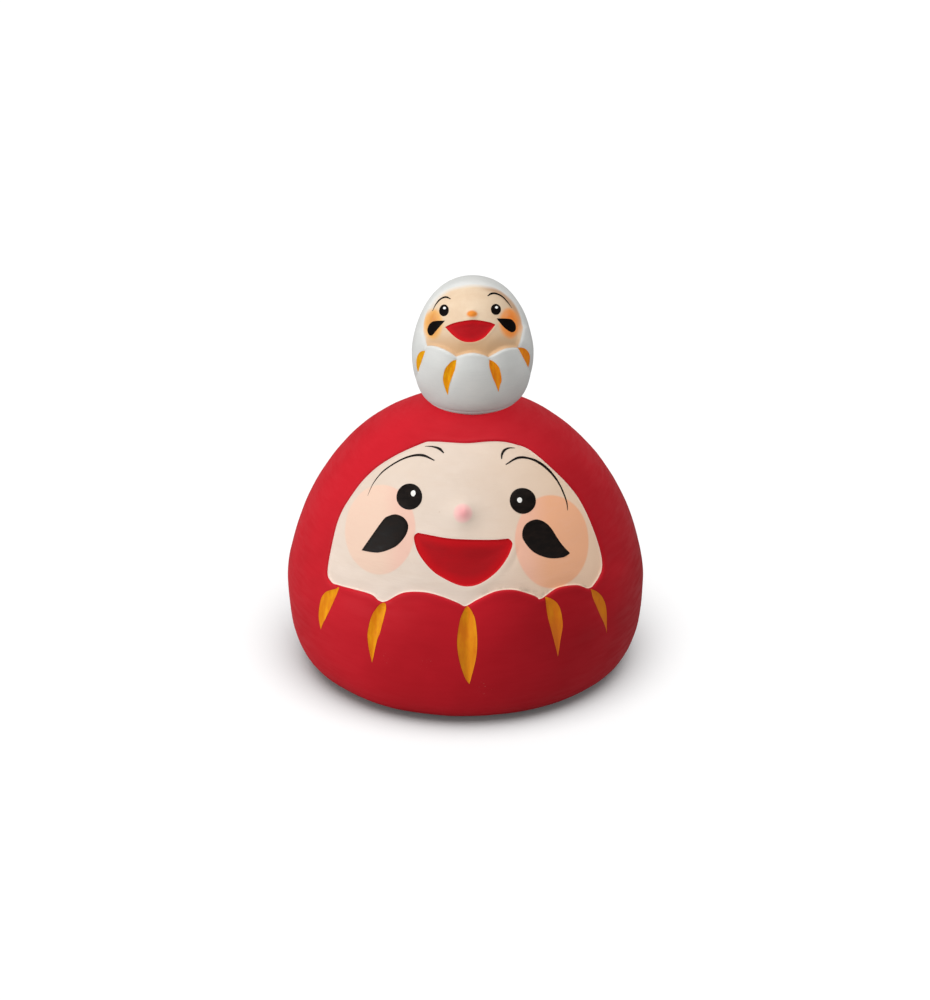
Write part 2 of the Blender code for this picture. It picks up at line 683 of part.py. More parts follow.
# ----------------------------------------------------------------------- dolls
def paint_face(prefix, form, parts, spacing, pivot=None):
    """The paint layers of one face, from the skin coat outwards."""
    wall = form.face_wall
    coat = inset(form.face, wall + 0.8)
    film(prefix + "_face_coat", form, coat, 0, "cream", spacing, pivot, hole=inset(form.mouth, -0.5))
    film(prefix + "_mouth", form, inset(form.mouth, wall + 0.4), 0, "mouth", spacing, pivot)
    centre, half_u, half_v = parts["nose"]
    film(prefix + "_nose", form, ellipse(centre, half_u, half_v), 1, parts["nose_colour"], spacing / 3, pivot,
         dome=parts["nose_height"], reach=half_v)
    for side in ("left", "right"):
        centre, half_u, half_v = parts["cheeks"][side]
        cheek = held_inside(ellipse(centre, half_u, half_v, 28), centre, coat, 0.4)
        film(f"{prefix}_cheek_{side}", form, cheek, 1, parts["cheek_colour"], spacing, pivot)
        centre, half_u, half_v = parts["eyes"][side]
        film(f"{prefix}_eye_{side}", form, ellipse(centre, half_u, half_v), 2, "black", spacing * 0.6, pivot)
        glint = ellipse(parts["glints"][side], parts["glint_radius"], parts["glint_radius"], 10)
        film(f"{prefix}_eye_glint_{side}", form, glint, 3, "white", spacing, pivot)
        whisker = drop(*parts["whiskers"][side])
        film(f"{prefix}_whisker_{side}", form, whisker, 2, "black", spacing * 0.6, pivot)
    for side, (points, widths) in parts["brows"].items():
        film(f"{prefix}_brow_{side}", form, brush(points, widths), 2, "black", spacing, pivot)


def paint_strokes(prefix, form, spacing, pivot=None):
    for number, groove in enumerate(form.grooves, start=1):
        film(f"{prefix}_gold_stroke_{number}", form, groove, 0, "gold", spacing, pivot)


def shape_face(form, face, mouth, strokes):
    """Press the drawn face, mouth and stroke grooves into the form."""
    form.face = smooth_loop(face, 2)
    form.mouth = smooth_loop(mouth, 2)
    form.grooves = [leaf(*stroke) for stroke in strokes]
    form.crease_lines = [(stroke[0], stroke[1]) for stroke in strokes]


def build_large():
    form = large_form()
    shape_face(form, LARGE_FACE, LARGE_MOUTH, LARGE_STROKES)
    shells = []
    for side, front in (("front", True), ("back", False)):
        shells.append(half_shell(f"large_{side}_shell", form, front, LARGE_OPENING, LARGE_WALL,
                                 LARGE_SPACING[side], "red"))
    paint_face("large", form, {
        "nose": LARGE_NOSE, "nose_colour": "pink", "nose_height": 2.5,
        "cheeks": LARGE_CHEEKS, "cheek_colour": "blush", "eyes": LARGE_EYES,
        "glints": LARGE_GLINTS, "glint_radius": 1.2, "whiskers": LARGE_WHISKERS,
        "brows": LARGE_BROWS}, LARGE_SPACING["paint"])
    paint_strokes("large", form, LARGE_SPACING["strokes"])
    for side, sign in (("left", -1), ("right", 1)):
        end = form.arc_at_crown_radius(LARGE_STRIP_ENDS[side])
        seam_strip("large_seam_strip_" + side, form, sign, LARGE_OPENING + LARGE_STRIP_START, end,
                   LARGE_WALL, LARGE_STRIP_HALF_WIDTH)
    build_base()
    build_crown_block()
    return shells


def build_base():
    """The paper disc that closes the base, and the clay weight standing on it."""
    disc = LARGE_OPENING - BASE_DISC_EDGE
    lathe("large_base_disc", [(0, 0), (disc, 0), (disc, BASE_DISC_THICKNESS), (0, BASE_DISC_THICKNESS)],
          "paper")
    plug = LARGE_OPENING - WEIGHT_PLUG_EDGE
    flange = LARGE_WALL + GAP + 0.1
    lathe("large_clay_weight", [(0, WEIGHT_PLUG_Z), (plug, WEIGHT_PLUG_Z), (plug, flange),
                                (WEIGHT_STEPS[0][0], flange)] + WEIGHT_STEPS, "clay")


def build_crown_block():
    """The block under the crown that holds the foot of the dowel."""
    top = SEAT_Z - GAP - LARGE_WALL - CROWN_BLOCK_PLAY
    floor = DOWEL_FOOT - GAP
    lathe("crown_block", [(0, CROWN_BLOCK_Z), (CROWN_BLOCK_RADIUS, CROWN_BLOCK_Z), (CROWN_BLOCK_RADIUS, top),
                          (BORE_RADIUS, top), (BORE_RADIUS, floor), (0, floor)], "wood", SEAT_X)


def build_dowel(pivot):
    neck = DOWEL_RADIUS - DOWEL_CHAMFER
    lathe("locating_dowel", [(0, DOWEL_FOOT), (neck, DOWEL_FOOT), (DOWEL_RADIUS, DOWEL_FOOT + DOWEL_CHAMFER),
                             (DOWEL_RADIUS, DOWEL_HEAD - DOWEL_CHAMFER), (neck, DOWEL_HEAD),
                             (0, DOWEL_HEAD)], "wood", SEAT_X, pivot, BORE_SEGMENTS)


def build_small(pivot):
    form = small_form()
    shape_face(form, SMALL_FACE, SMALL_MOUTH, SMALL_STROKES)
    for side, front in (("front", True), ("back", False)):
        half_shell(f"small_{side}_shell", form, front, SMALL_OPENING, SMALL_WALL, SMALL_SPACING[side],
                   "white", pivot)
    paint_face("small", form, {
        "nose": SMALL_NOSE, "nose_colour": "ochre", "nose_height": 0.8,
        "cheeks": SMALL_CHEEKS, "cheek_colour": "apricot", "eyes": SMALL_EYES,
        "glints": SMALL_GLINTS, "glint_radius": 0.7, "whiskers": SMALL_WHISKERS,
        "brows": SMALL_BROWS}, SMALL_SPACING["paint"], pivot)
    paint_strokes("small", form, SMALL_SPACING["strokes"], pivot)
    end = form.arc_at_crown_radius(SMALL_STRIP_END)
    for side, sign in (("left", -1), ("right", 1)):
        seam_strip("small_seam_strip_" + side, form, sign, SMALL_STRIP_START, end, SMALL_WALL,
                   SMALL_STRIP_HALF_WIDTH, pivot)
    build_small_foot(pivot)


def build_small_foot(pivot):
    """The foot disc under the small doll and the clay ring inside it, both round the dowel."""
    top = SEAT_Z + FOOT_TOP - GAP
    lathe("small_foot_disc", [(BORE_RADIUS, SEAT_Z), (FOOT_RADIUS - FOOT_CHAMFER, SEAT_Z),
                              (FOOT_RADIUS, SEAT_Z + FOOT_CHAMFER), (FOOT_RADIUS, top),
                              (BORE_RADIUS, top)], "white", SEAT_X, pivot)
    floor = SEAT_Z + FOOT_TOP + SMALL_WALL + GAP
    upper = [(radius, floor + rise) for radius, rise in SMALL_WEIGHT_STEPS]
    lathe("small_clay_weight", [(BORE_RADIUS, floor), (SMALL_WEIGHT_RADIUS, floor)] + upper, "clay", SEAT_X,
          pivot)


def bore(shells):
    """Cut the dowel's hole through the crown, once in each half shell."""
    low, high = BORE_CUT
    lathe("bore_cutter", [(0, low), (BORE_RADIUS, low), (BORE_RADIUS, high), (0, high)], "wood", SEAT_X,
          segments=BORE_SEGMENTS)
    cutter = bpy.data.objects["bore_cutter"]
    cutter.hide_render = True
    cutter.display_type = "WIRE"
    for shell in shells:
        cut = shell.modifiers.new("dowel_bore", "BOOLEAN")
        cut.operation = "DIFFERENCE"
        cut.object = cutter


def build():
    clear_scene()
    bore(build_large())
    build_dowel(add_pivot("dowel_axis", SEAT_X, SEAT_Z))
    build_small(add_pivot("small_daruma_axis", SEAT_X, SEAT_Z))


build()
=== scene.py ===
import math

import bmesh
import bpy
import numpy as np
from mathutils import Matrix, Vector
from mathutils.geometry import delaunay_2d_cdt
from mathutils.kdtree import KDTree


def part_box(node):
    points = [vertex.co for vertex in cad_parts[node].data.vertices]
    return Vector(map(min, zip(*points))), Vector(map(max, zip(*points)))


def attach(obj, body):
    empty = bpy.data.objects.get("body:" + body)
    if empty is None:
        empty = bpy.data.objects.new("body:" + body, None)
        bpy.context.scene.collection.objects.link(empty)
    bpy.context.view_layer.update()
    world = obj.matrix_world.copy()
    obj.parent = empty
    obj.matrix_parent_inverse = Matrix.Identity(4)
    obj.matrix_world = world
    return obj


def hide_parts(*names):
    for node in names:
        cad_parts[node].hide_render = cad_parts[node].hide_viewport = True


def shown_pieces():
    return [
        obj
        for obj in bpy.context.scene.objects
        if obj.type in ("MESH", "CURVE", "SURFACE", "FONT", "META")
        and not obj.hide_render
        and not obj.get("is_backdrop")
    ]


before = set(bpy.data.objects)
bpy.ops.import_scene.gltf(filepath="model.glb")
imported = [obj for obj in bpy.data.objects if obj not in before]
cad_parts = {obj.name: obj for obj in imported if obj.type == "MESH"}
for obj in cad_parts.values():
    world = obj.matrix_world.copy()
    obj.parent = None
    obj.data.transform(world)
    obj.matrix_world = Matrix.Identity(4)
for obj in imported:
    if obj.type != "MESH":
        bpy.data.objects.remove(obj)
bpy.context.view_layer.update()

MM = 0.001
TILT = math.radians(24)          # faces are drawn on a plane leaning back this far
HALF = math.pi / 2               # the half shells meet this far round from the front
LARGE, SMALL, DOWEL = "large_daruma", "small_daruma", "locating_dowel"


# ------------------------------------------------------------ sizes off the frame
def extent(node):
    """Lowest corner, highest corner of a CAD node in millimetres."""
    low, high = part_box(node)
    return np.array(low) / MM, np.array(high) / MM


large_low, large_high = extent("large_back_shell")
foot_low, foot_high = extent("small_foot_disc")
small_low, small_high = extent("small_back_shell")
dowel_low, dowel_high = extent("locating_dowel")

LARGE_RADIUS = (large_high[0] - large_low[0]) / 2
LARGE_X = (large_high[0] + large_low[0]) / 2
SEAT_X = (foot_high[0] + foot_low[0]) / 2
SEAT_Z = foot_low[2]
FOOT_RADIUS = (foot_high[0] - foot_low[0]) / 2
FOOT_HEIGHT = foot_high[2] - foot_low[2]
SMALL_RADIUS = (small_high[0] - small_low[0]) / 2
SMALL_FLAT_Z = small_low[2] - SEAT_Z
SMALL_HEIGHT = small_high[2] - SEAT_Z
DOWEL_RADIUS = (dowel_high[0] - dowel_low[0]) / 2
BORE = DOWEL_RADIUS + 0.3
LARGE_HEIGHT = 121.5
LARGE_WIDEST = 39.0
SMALL_WIDEST = 24.5
LARGE_FLAT, SMALL_FLAT = 51.5, 17.1
LARGE_WALL, SMALL_WALL = 2.2, 1.5
SEAT_RADIUS = 15.0
SEAT_SINK = 0.3                  # the crown is sanded this far below the small doll's foot
LARGE_OPENING, SMALL_OPENING = 24.0, 4.0     # arc from the axis to the edge of the base opening
# Distances between mesh points: front, round the face, back, inner face, and least room for a loose one.
LARGE_SPACING = {"front": 2.6, "fine": 1.15, "back": 2.6, "inner": 7.0, "clear": 0.32}
SMALL_SPACING = {"front": 1.2, "fine": 0.55, "back": 1.0, "inner": 3.0, "clear": 0.16}


# ---------------------------------------------------------------------- outlines
def bezier(p0, p1, p2, p3, steps):
    t = np.linspace(0.0, 1.0, steps + 1)[:, None]
    s = 1.0 - t
    p0, p1, p2, p3 = (np.array(p, dtype=float) for p in (p0, p1, p2, p3))
    return s ** 3 * p0 + 3 * s * s * t * p1 + 3 * s * t * t * p2 + t ** 3 * p3


def smooth_loop(points, steps=8):
    """A closed curve through the points; a third value of 1 keeps a sharp corner."""
    count = len(points)
    tangents = []
    for i, point in enumerate(points):
        before, after = points[i - 1], points[(i + 1) % count]
        reach = 0.0 if len(point) > 2 else 0.5
        tangents.append((reach * (after[0] - before[0]), reach * (after[1] - before[1])))
    loop = []
    for i in range(count):
        p0, p3 = np.array(points[i][:2]), np.array(points[(i + 1) % count][:2])
        t0, t3 = np.array(tangents[i]), np.array(tangents[(i + 1) % count])
        loop.extend(bezier(p0, p0 + t0 / 3, p3 - t3 / 3, p3, steps)[:-1])
    return np.array(loop)


def even(loop, step, closed=True):
    """The same line with points a step apart."""
    line = np.vstack((loop, loop[:1])) if closed else np.asarray(loop)
    run = np.concatenate(([0.0], np.cumsum(np.hypot(*np.diff(line, axis=0).T))))
    count = max(int(round(run[-1] / step)), 3)
    at = np.linspace(0.0, run[-1], count + 1)
    points = np.column_stack([np.interp(at, run, line[:, k]) for k in (0, 1)])
    return points[:-1] if closed else points


def ellipse(centre, half_u, half_v, wobble=0.0, seed=0):
    """A closed oval, a little uneven when it has a wobble."""
    turn = np.linspace(0, 2 * math.pi, 97)[:-1]
    rng = np.random.default_rng(seed)
    swell = np.ones_like(turn)
    for k in (2, 3, 5):
        swell += wobble * rng.uniform(0.4, 1.0) / k * np.sin(k * turn + rng.uniform(0, 6.28))
    return np.column_stack((centre[0] + half_u * swell * np.cos(turn),
                            centre[1] + half_v * swell * np.sin(turn)))


def brush(points, widths, steps=14):
    """A stroke along the points with its half width at each of them."""
    points = np.array(points, dtype=float)
    tangents = np.gradient(points, axis=0)
    centre = []
    half = []
    for k in range(len(points) - 1):
        p0, p3, t0, t3 = points[k], points[k + 1], tangents[k], tangents[k + 1]
        centre.extend(bezier(p0, p0 + t0 / 3, p3 - t3 / 3, p3, steps)[:-1])
        half.extend(np.linspace(widths[k], widths[k + 1], steps + 1)[:-1])
    centre = np.array(centre + [points[-1]])
    half = np.array(half + [widths[-1]])
    slope = np.gradient(centre, axis=0)
    side = np.column_stack((-slope[:, 1], slope[:, 0])) / np.hypot(*slope.T)[:, None] * half[:, None]
    return np.vstack((centre + side, (centre - side)[::-1]))


FAR_OUTSIDE = -50.0
BATCH = 3000                     # points measured at a time, to keep the arrays small


def depth(points, loop, margin=9.0):
    """Distance of each point from the loop, positive inside; past the margin it is FAR_OUTSIDE."""
    a = np.asarray(loop)
    b = np.roll(a, -1, axis=0)
    ab = b - a
    square = np.maximum((ab * ab).sum(1), 1e-12)
    result = np.full(len(points), FAR_OUTSIDE)
    near = ((points > a.min(0) - margin) & (points < a.max(0) + margin)).all(1)
    chosen = np.flatnonzero(near)
    for start in range(0, len(chosen), BATCH):
        index = chosen[start:start + BATCH]
        p = points[index][:, None, :]
        ap = p - a
        t = np.clip((ap * ab).sum(2) / square, 0, 1)
        gap = np.sqrt(((ap - t[..., None] * ab) ** 2).sum(2)).min(1)
        crossing = (a[:, 1] > p[..., 1]) != (b[:, 1] > p[..., 1])
        rise = np.where(crossing, ab[:, 1], 1.0)
        hit = crossing & (p[..., 0] < a[:, 0] + ap[..., 1] / rise * ab[:, 0])
        result[index] = np.where(hit.sum(1) % 2 == 1, gap, -gap)
    return result


def stretches(points, kept):
    """The unbroken runs of the kept points."""
    lines, line = [], []
    for point, good in zip(points, kept):
        if good:
            line.append(point)
        elif line:
            lines.append(np.array(line))
            line = []
    if line:
        lines.append(np.array(line))
    return [line for line in lines if len(line) > 1]


def offset_lines(loop, amount, step):
    """The loop moved inwards by amount, as the lines that stay clear of its corners."""
    points = even(loop, step)
    if amount == 0:
        return [np.vstack((points, points[:1]))]
    before, after = np.roll(points, 1, axis=0), np.roll(points, -1, axis=0)
    area = (points[:, 0] * after[:, 1] - after[:, 0] * points[:, 1]).sum()
    slope = after - before
    normal = np.column_stack((-slope[:, 1], slope[:, 0])) / np.hypot(*slope.T)[:, None]
    moved = points + amount * (normal if area > 0 else -normal)
    good = np.abs(depth(moved, points)) > abs(amount) * 0.93
    return stretches(moved, good)


def ease(value, low, high):
    """0 below low, 1 above high, smooth between them."""
    t = np.clip((value - low) / (high - low), 0, 1)
    return t * t * (3 - 2 * t)


def lumps(points, size, seed):
    """Soft hand-made unevenness about size millimetres across, roughly -1 to 1."""
    rng = np.random.default_rng(seed)
    total = np.zeros(len(points))
    for _ in range(9):
        way = rng.normal(size=3)
        way *= 2 * math.pi / (size * rng.uniform(0.7, 1.6) * np.linalg.norm(way))
        total += np.sin(points @ way + rng.uniform(0, 2 * math.pi))
    return total / 3.6


# -------------------------------------------------------------------- doll forms
class Form:
    """The turned form of one doll. A place on it is (angle from the front, arc up the profile)."""

    def __init__(self, centre_x, base_z, flat_z, lower, upper):
        self.centre_x, self.base_z = centre_x, base_z
        points = np.vstack(([(0.0, flat_z)], lower, upper[1:]))
        self.radii, self.heights = points.T
        self.arcs = np.concatenate(([0.0], np.cumsum(np.hypot(*np.diff(points, axis=0).T))))
        slope = np.gradient(points, self.arcs, axis=0)
        slope[0], slope[-1] = (1.0, 0.0), (-1.0, 0.0)
        slope /= np.hypot(*slope.T)[:, None]
        self.normals = np.column_stack((slope[:, 1], -slope[:, 0]))
        self.length, self.top = self.arcs[-1], self.heights[-1]
        self.relief = None

    def along(self, arc, column):
        return np.interp(arc, self.arcs, column)

    def chart(self, angle, arc):
        r, z = self.along(arc, self.radii), self.along(arc, self.heights)
        return np.column_stack((r * np.sin(angle),
                                z * math.cos(TILT) - r * np.cos(angle) * math.sin(TILT)))

    def from_chart(self, points):
        """(angle, arc) of the first place each chart point meets, coming from the front."""
        points = np.asarray(points, dtype=float)
        cos, sin = math.cos(TILT), math.sin(TILT)
        u, v = points.T

        def inside(w):
            y, z = w * cos + v * sin, v * cos - w * sin
            wide = np.interp(z, self.heights[1:], self.radii[1:])
            return (z > self.heights[1]) & (z < self.top) & (np.hypot(u, y) < wide)

        step = self.radii.max() / 50
        near = np.full(len(points), -2.2 * self.radii.max())
        for _ in range(220):
            near = np.where(inside(near + step), near, near + step)
        far = near + step
        for _ in range(24):
            middle = (near + far) / 2
            hit = inside(middle)
            near, far = np.where(hit, near, middle), np.where(hit, middle, far)
        y, z = far * cos + v * sin, v * cos - far * sin
        return np.arctan2(u, -y), np.interp(z, self.heights[1:], self.arcs[1:])

    def flat(self, angle, arc):
        return np.column_stack((angle * self.along(arc, self.radii), arc))

    def unflat(self, points):
        r = self.along(points[:, 1], self.radii)
        return points[:, 0] / np.maximum(r, 1e-6), points[:, 1]

    def place(self, angle, arc, lift=0.0, shaped=True):
        """Places in millimetres, lifted off the surface along its normal."""
        r, z = self.along(arc, self.radii), self.along(arc, self.heights)
        nr, nz = (self.along(arc, column) for column in self.normals.T)
        height = lift + (self.relief(self, angle, arc) if shaped else 0.0)
        r, z = r + nr * height, z + nz * height
        return np.column_stack((r * np.sin(angle) + self.centre_x, -r * np.cos(angle), z + self.base_z))


def turned(flat, foot, belly, handles, crown, steps):
    """The two curves of a turned profile, up to the belly and on to the crown.

    foot is the first handle, handles are the lengths of the two at the belly, and crown is the last."""
    lower = bezier(flat, foot, (belly[0], belly[1] - handles[0]), belly, steps[0])
    upper = bezier(belly, (belly[0], belly[1] + handles[1]), crown, (0, crown[1]), steps[1])
    return lower, upper


def make_forms():
    lower, upper = turned((LARGE_FLAT, 0), (LARGE_FLAT + 18, 0), (LARGE_RADIUS, LARGE_WIDEST),
                          (35.5, 21), (58, LARGE_HEIGHT), (160, 320))
    large = Form(LARGE_X, 0.0, 0.0, lower, upper)
    lower, upper = turned((SMALL_FLAT, SMALL_FLAT_Z), (SMALL_FLAT + 1.2, SMALL_FLAT_Z + 0.25),
                          (SMALL_RADIUS, SMALL_WIDEST), (18.2, 3), (22.5, SMALL_HEIGHT), (120, 200))
    return large, Form(SEAT_X, SEAT_Z, SMALL_FLAT_Z, lower, upper)


large_form, small_form = make_forms()

# ----------------------------------------------------------------- face drawings
# Chart coordinates in millimetres, from each doll's own axis and base.  A crease of the robe runs
# from the top of a gold stroke to its tip.
LARGE_CREASES = [((-54, 29.7), (-62.1, 12)), ((-33.6, 24.3), (-39.4, -1.4)), ((0.7, 23), (1.6, -9.7)),
                 ((33.2, 26.9), (38.9, 1.3)), ((53, 29.6), (60.3, 10.2))]
LARGE_NOSE_AT, LARGE_NOSE_TIP = (-1.1, 61.4), (-0.5, 61.8)
LARGE_DRAWINGS = {
    "face": smooth_loop([
        (-58.8, 37.1), (-57, 32.4), (-54.4, 31.3), (-40.4, 28), (-36.5, 25.2), (-33.5, 24.9),
        (-26.2, 28.6), (-17.6, 29), (-10.2, 27.3), (-3.3, 24.6), (0, 23.2), (4.4, 25.7), (12.5, 29.4),
        (20.3, 29.9), (28.6, 27.4), (31.7, 26.1), (38.2, 30.4), (46.6, 31.5), (52, 29.9), (54.8, 31.8),
        (58.3, 38.6), (57, 47.9), (50.6, 63.3), (43.8, 73.6), (29.1, 87.3), (20.7, 91.1), (12.5, 92.2),
        (0, 91.4), (-13.3, 92), (-18.7, 91.2), (-32.4, 84.8), (-43.2, 76.3), (-52.3, 63.5),
        (-56.4, 51.7)]),
    "mouth": smooth_loop([
        (-21.5, 51.7), (-20.1, 53.5), (-18.2, 53.3), (-5.7, 51.2), (10.2, 50.7), (16.4, 51.1),
        (18.2, 51), (19.5, 48.5), (16.8, 42.4), (12, 36.6), (4.9, 32.1), (-2.2, 31.7), (-10.9, 35.7),
        (-15.3, 39.3), (-18.7, 43.6), (-20.6, 47.4)]),
    "stroke_1": smooth_loop([
        (-53.8, 28.9), (-59.2, 17.7), (-61, 14.6), (-62.1, 11.7, 1), (-62.7, 17.4), (-61.4, 24.5),
        (-59.9, 27.3), (-58.2, 28.6), (-54.9, 29.6), (-53.9, 30.4)]),
    "stroke_2": smooth_loop([
        (-33.7, 24.2), (-33.2, 22.2), (-34, 18.6), (-35.8, 11.7), (-37.1, 8.3), (-39.4, -1.4, 1),
        (-40.7, 5), (-40.9, 11.7), (-39.2, 18.6), (-37, 22.2), (-35, 24.1)]),
    "stroke_3": smooth_loop([
        (0.7, 23.2), (3.1, 20.1), (4.2, 16.1), (4.8, 8.6), (4.2, 0.9), (1.6, -9.7, 1), (-0.3, -6.8),
        (-2.7, 0.9), (-3.5, 8.6), (-2.6, 16.1), (-1.4, 20.1)]),
    "stroke_4": smooth_loop([
        (33.2, 26.9, 1), (36.5, 25.5), (39.1, 22.2), (40.5, 15.4), (39.8, 8.5), (38.9, 1.3, 1),
        (36.6, 10), (34.3, 18.7)]),
    "stroke_5": smooth_loop([
        (53, 29.6, 1), (55.6, 28.3), (57.9, 25.7), (59.7, 20.6), (60.3, 10.2, 1), (59.2, 14),
        (53.9, 25.7)]),
    "cheek_left": ellipse((-36.1, 55.0), 15.8, 19.3, 0.02, 1),
    "eye_left": ellipse((-23.5, 68.6), 5.4, 5.5, 0.02, 3),
    "glint_left": ellipse((-21.8, 69.9), 1.0, 1.25, 0.1, 8),
    "whisker_left": smooth_loop([
        (-43.7, 46.1, 1), (-34.8, 58.4), (-32.3, 60.4), (-29.4, 61.2), (-26.5, 60.3), (-24.5, 58.3),
        (-23.9, 55.8), (-24.9, 52.6), (-27.3, 49.4), (-30.3, 47.2), (-36.6, 45.2)]),
    "cheek_right": ellipse((36.5, 49.9), 16.4, 20.1, 0.02, 2),
    "eye_right": ellipse((23.9, 66.9), 5.5, 5.4, 0.02, 4),
    "glint_right": ellipse((22.5, 67.1), 1.0, 1.15, 0.08, 9),
    "whisker_right": smooth_loop([
        (43.9, 44.9, 1), (39.8, 49.4), (36, 55.2), (33.3, 57.8), (29.9, 59.1), (26.7, 58.3),
        (24.5, 56.3), (23.6, 53.2), (24.3, 50.2), (28.4, 45.5), (34.6, 43), (40.9, 43.2)]),
    "brow_left_inner": brush(
        [(-17.4, 90.2), (-14.6, 90.1), (-12.4, 89.6), (-10.8, 88.8), (-9.2, 87.1)],
        [0.06, 0.25, 0.45, 0.6, 0.25], 8),
    "brow_left_outer": brush(
        [(-13.1, 83.9), (-17.9, 86.1), (-23.0, 86.0), (-28.9, 83.8), (-35.0, 79.7), (-39.1, 74.6),
        (-41.5, 69.1)],
        [0.2, 0.55, 0.44, 0.33, 0.28, 0.14, 0.05], 9),
    "brow_right_inner": brush(
        [(15.2, 84.6), (15.4, 86.6), (16.2, 88.2), (17.4, 89.1), (18.8, 89.6), (21.2, 89.6)],
        [0.2, 0.45, 0.56, 0.45, 0.28, 0.05], 7),
    "brow_right_outer": brush(
        [(16.9, 82.2), (22.0, 85.1), (26.9, 85.1), (31.4, 83.4), (36.2, 79.5), (40.1, 73.7),
        (42.6, 67.0), (43.1, 62.8)],
        [0.2, 0.5, 0.44, 0.58, 0.5, 0.35, 0.28, 0.12], 9),
    "nose": ellipse(LARGE_NOSE_AT, 4.6, 4.5, 0.04, 5)}

SMALL_CREASES = [((-20.2, 20.7), (-23.3, 12.3)), ((-6.9, 16.4), (-10.2, 2.4)),
                 ((7, 16.4), (10.5, 3.7)), ((19.1, 22.1), (23.7, 14.3))]
SMALL_NOSE_AT = (-0.3, 35.5)
SMALL_DRAWINGS = {
    "face": smooth_loop([
        (0, 48.8), (-7.2, 47.8), (-11.8, 46.4), (-15.6, 43.6), (-18.6, 39.4), (-20.4, 34.8),
        (-20.8, 30.4), (-19.4, 22.7, 1), (-16.6, 22.6), (-13.5, 21.7), (-9.9, 19.9), (-7, 17.7, 1),
        (-3.6, 18.8), (0, 19.3), (3.6, 18.7), (6.6, 17.5, 1), (13, 21.2), (19.1, 22, 1), (20.9, 31),
        (20.5, 35.4), (18.6, 39.9), (15.4, 43.8), (11.6, 46.6), (6.6, 48.2)]),
    "mouth": smooth_loop([
        (-11.7, 30.3, 1), (-7.6, 32), (0.2, 33.1), (7.1, 32.2), (9.6, 31.2, 1), (5.3, 26.1),
        (1.9, 24.2), (-1.6, 23.7), (-5, 24.4), (-8.5, 26.8)]),
    "stroke_1": smooth_loop([
        (-20.1, 20.8, 1), (-20.3, 19.6), (-22.4, 14.9), (-23.3, 12.1, 1), (-23.4, 14.9), (-23.1, 17.8),
        (-22.2, 19.8), (-21.2, 20.7)]),
    "stroke_2": smooth_loop([
        (-6.9, 16.5, 1), (-7.4, 12.8), (-9.6, 6.7), (-10.2, 2.4, 1), (-11.2, 4.7), (-12.1, 8.8),
        (-11.3, 12.8), (-9.8, 14.9), (-8.3, 16.2)]),
    "stroke_3": smooth_loop([
        (7, 16.5, 1), (8.2, 16.1), (9.7, 14.9), (11, 12.8), (11.8, 8.7), (11.2, 6.4), (10.6, 3.7, 1),
        (9.5, 6.7), (8.5, 8.8), (7.1, 12.8), (6.8, 14.8)]),
    "stroke_4": smooth_loop([
        (19.1, 22.1, 1), (20.9, 22), (22.4, 20.9), (23.3, 19.2), (23.6, 17.1), (23.7, 14.1, 1)]),
    "nose": ellipse(SMALL_NOSE_AT, 2.8, 2.0),
    "cheek_left": ellipse((-17.0, 32.0), 5.2, 7.6),
    "eye_left": ellipse((-12.2, 37.5), 2.05, 2.6, 0.02, 6),
    "glint_left": ellipse((-11.9, 38.4), 0.62, 0.55),
    "whisker_left": smooth_loop([
        (-11.7, 33, 1), (-16.7, 33.1), (-18.8, 32), (-19.7, 29.9), (-19.2, 27.8), (-18, 27.1),
        (-16.6, 27.9)]),
    "cheek_right": ellipse((15.9, 32.3), 5.6, 7.6),
    "eye_right": ellipse((9.8, 37.8), 2.15, 2.35, 0.02, 7),
    "glint_right": ellipse((10.0, 38.6), 0.62, 0.55),
    "whisker_right": smooth_loop([
        (10.1, 33.9, 1), (15.8, 34), (17.8, 32.9), (18.7, 31.1), (18.3, 29.2), (16.8, 28.4),
        (14.8, 29.1), (12.7, 30.8)]),
    "brow_left": brush(
        [(-17.5, 37.7), (-16.0, 40.7), (-14.0, 42.9), (-11.6, 43.6), (-9.4, 42.4)],
        [0.1, 0.25, 0.38, 0.44, 0.15]),
    "brow_right": brush(
        [(6.3, 43.6), (8.0, 44.9), (10.0, 45.2), (12.8, 44.1), (15.0, 41.9), (17.0, 39.1)],
        [0.2, 0.48, 0.46, 0.36, 0.26, 0.08])}
FOOT_LINE = 4.1                  # height of the line turned above the small doll's foot


def kind(key):
    """What a drawing is: eye for eye_left, and so on."""
    return key.split("_")[0]


# ------------------------------------------------------------------------ relief
def lobes(chart, creases, reach):
    """0 along the creases, 1 on the crowns of the padded lobes between and beside them."""
    u, v = chart.T
    lines = []
    for top, tip in creases:
        t = (top[1] - v) / (top[1] - tip[1])
        lines.append(top[0] + np.clip(t, -0.3, 1.4) * (tip[0] - top[0]))
    crown = np.zeros(len(u))
    for left, right in zip(lines, lines[1:]):
        s = np.clip((u - left) / (right - left), 0, 1)
        crown = np.maximum(crown, np.sin(np.pi * s) ** 0.55)
    for beyond in (lines[0] - u, u - lines[-1]):
        s = np.clip(beyond / reach, 0, 1)
        crown = np.maximum(crown, np.sin(np.pi * s * 0.5) ** 0.7)
    return crown


def grooves(chart, drawings, slope):
    """A V-shaped groove inside each gold stroke, one at a time."""
    for key, loop in drawings.items():
        if kind(key) == "stroke":
            inside = np.maximum(depth(chart, loop, 1.0), 0.0)
            yield GROOVE_EDGE * ease(inside, 0.0, 0.25) + slope * inside


def bump(chart, centre, width, height):
    square = ((chart - np.array(centre)) ** 2).sum(1)
    return height * np.exp(-square / (2 * width * width))


def ridge(value, at, width):
    """1 where value is at, falling away over width on both sides."""
    return np.exp(-((value - at) / width) ** 2)


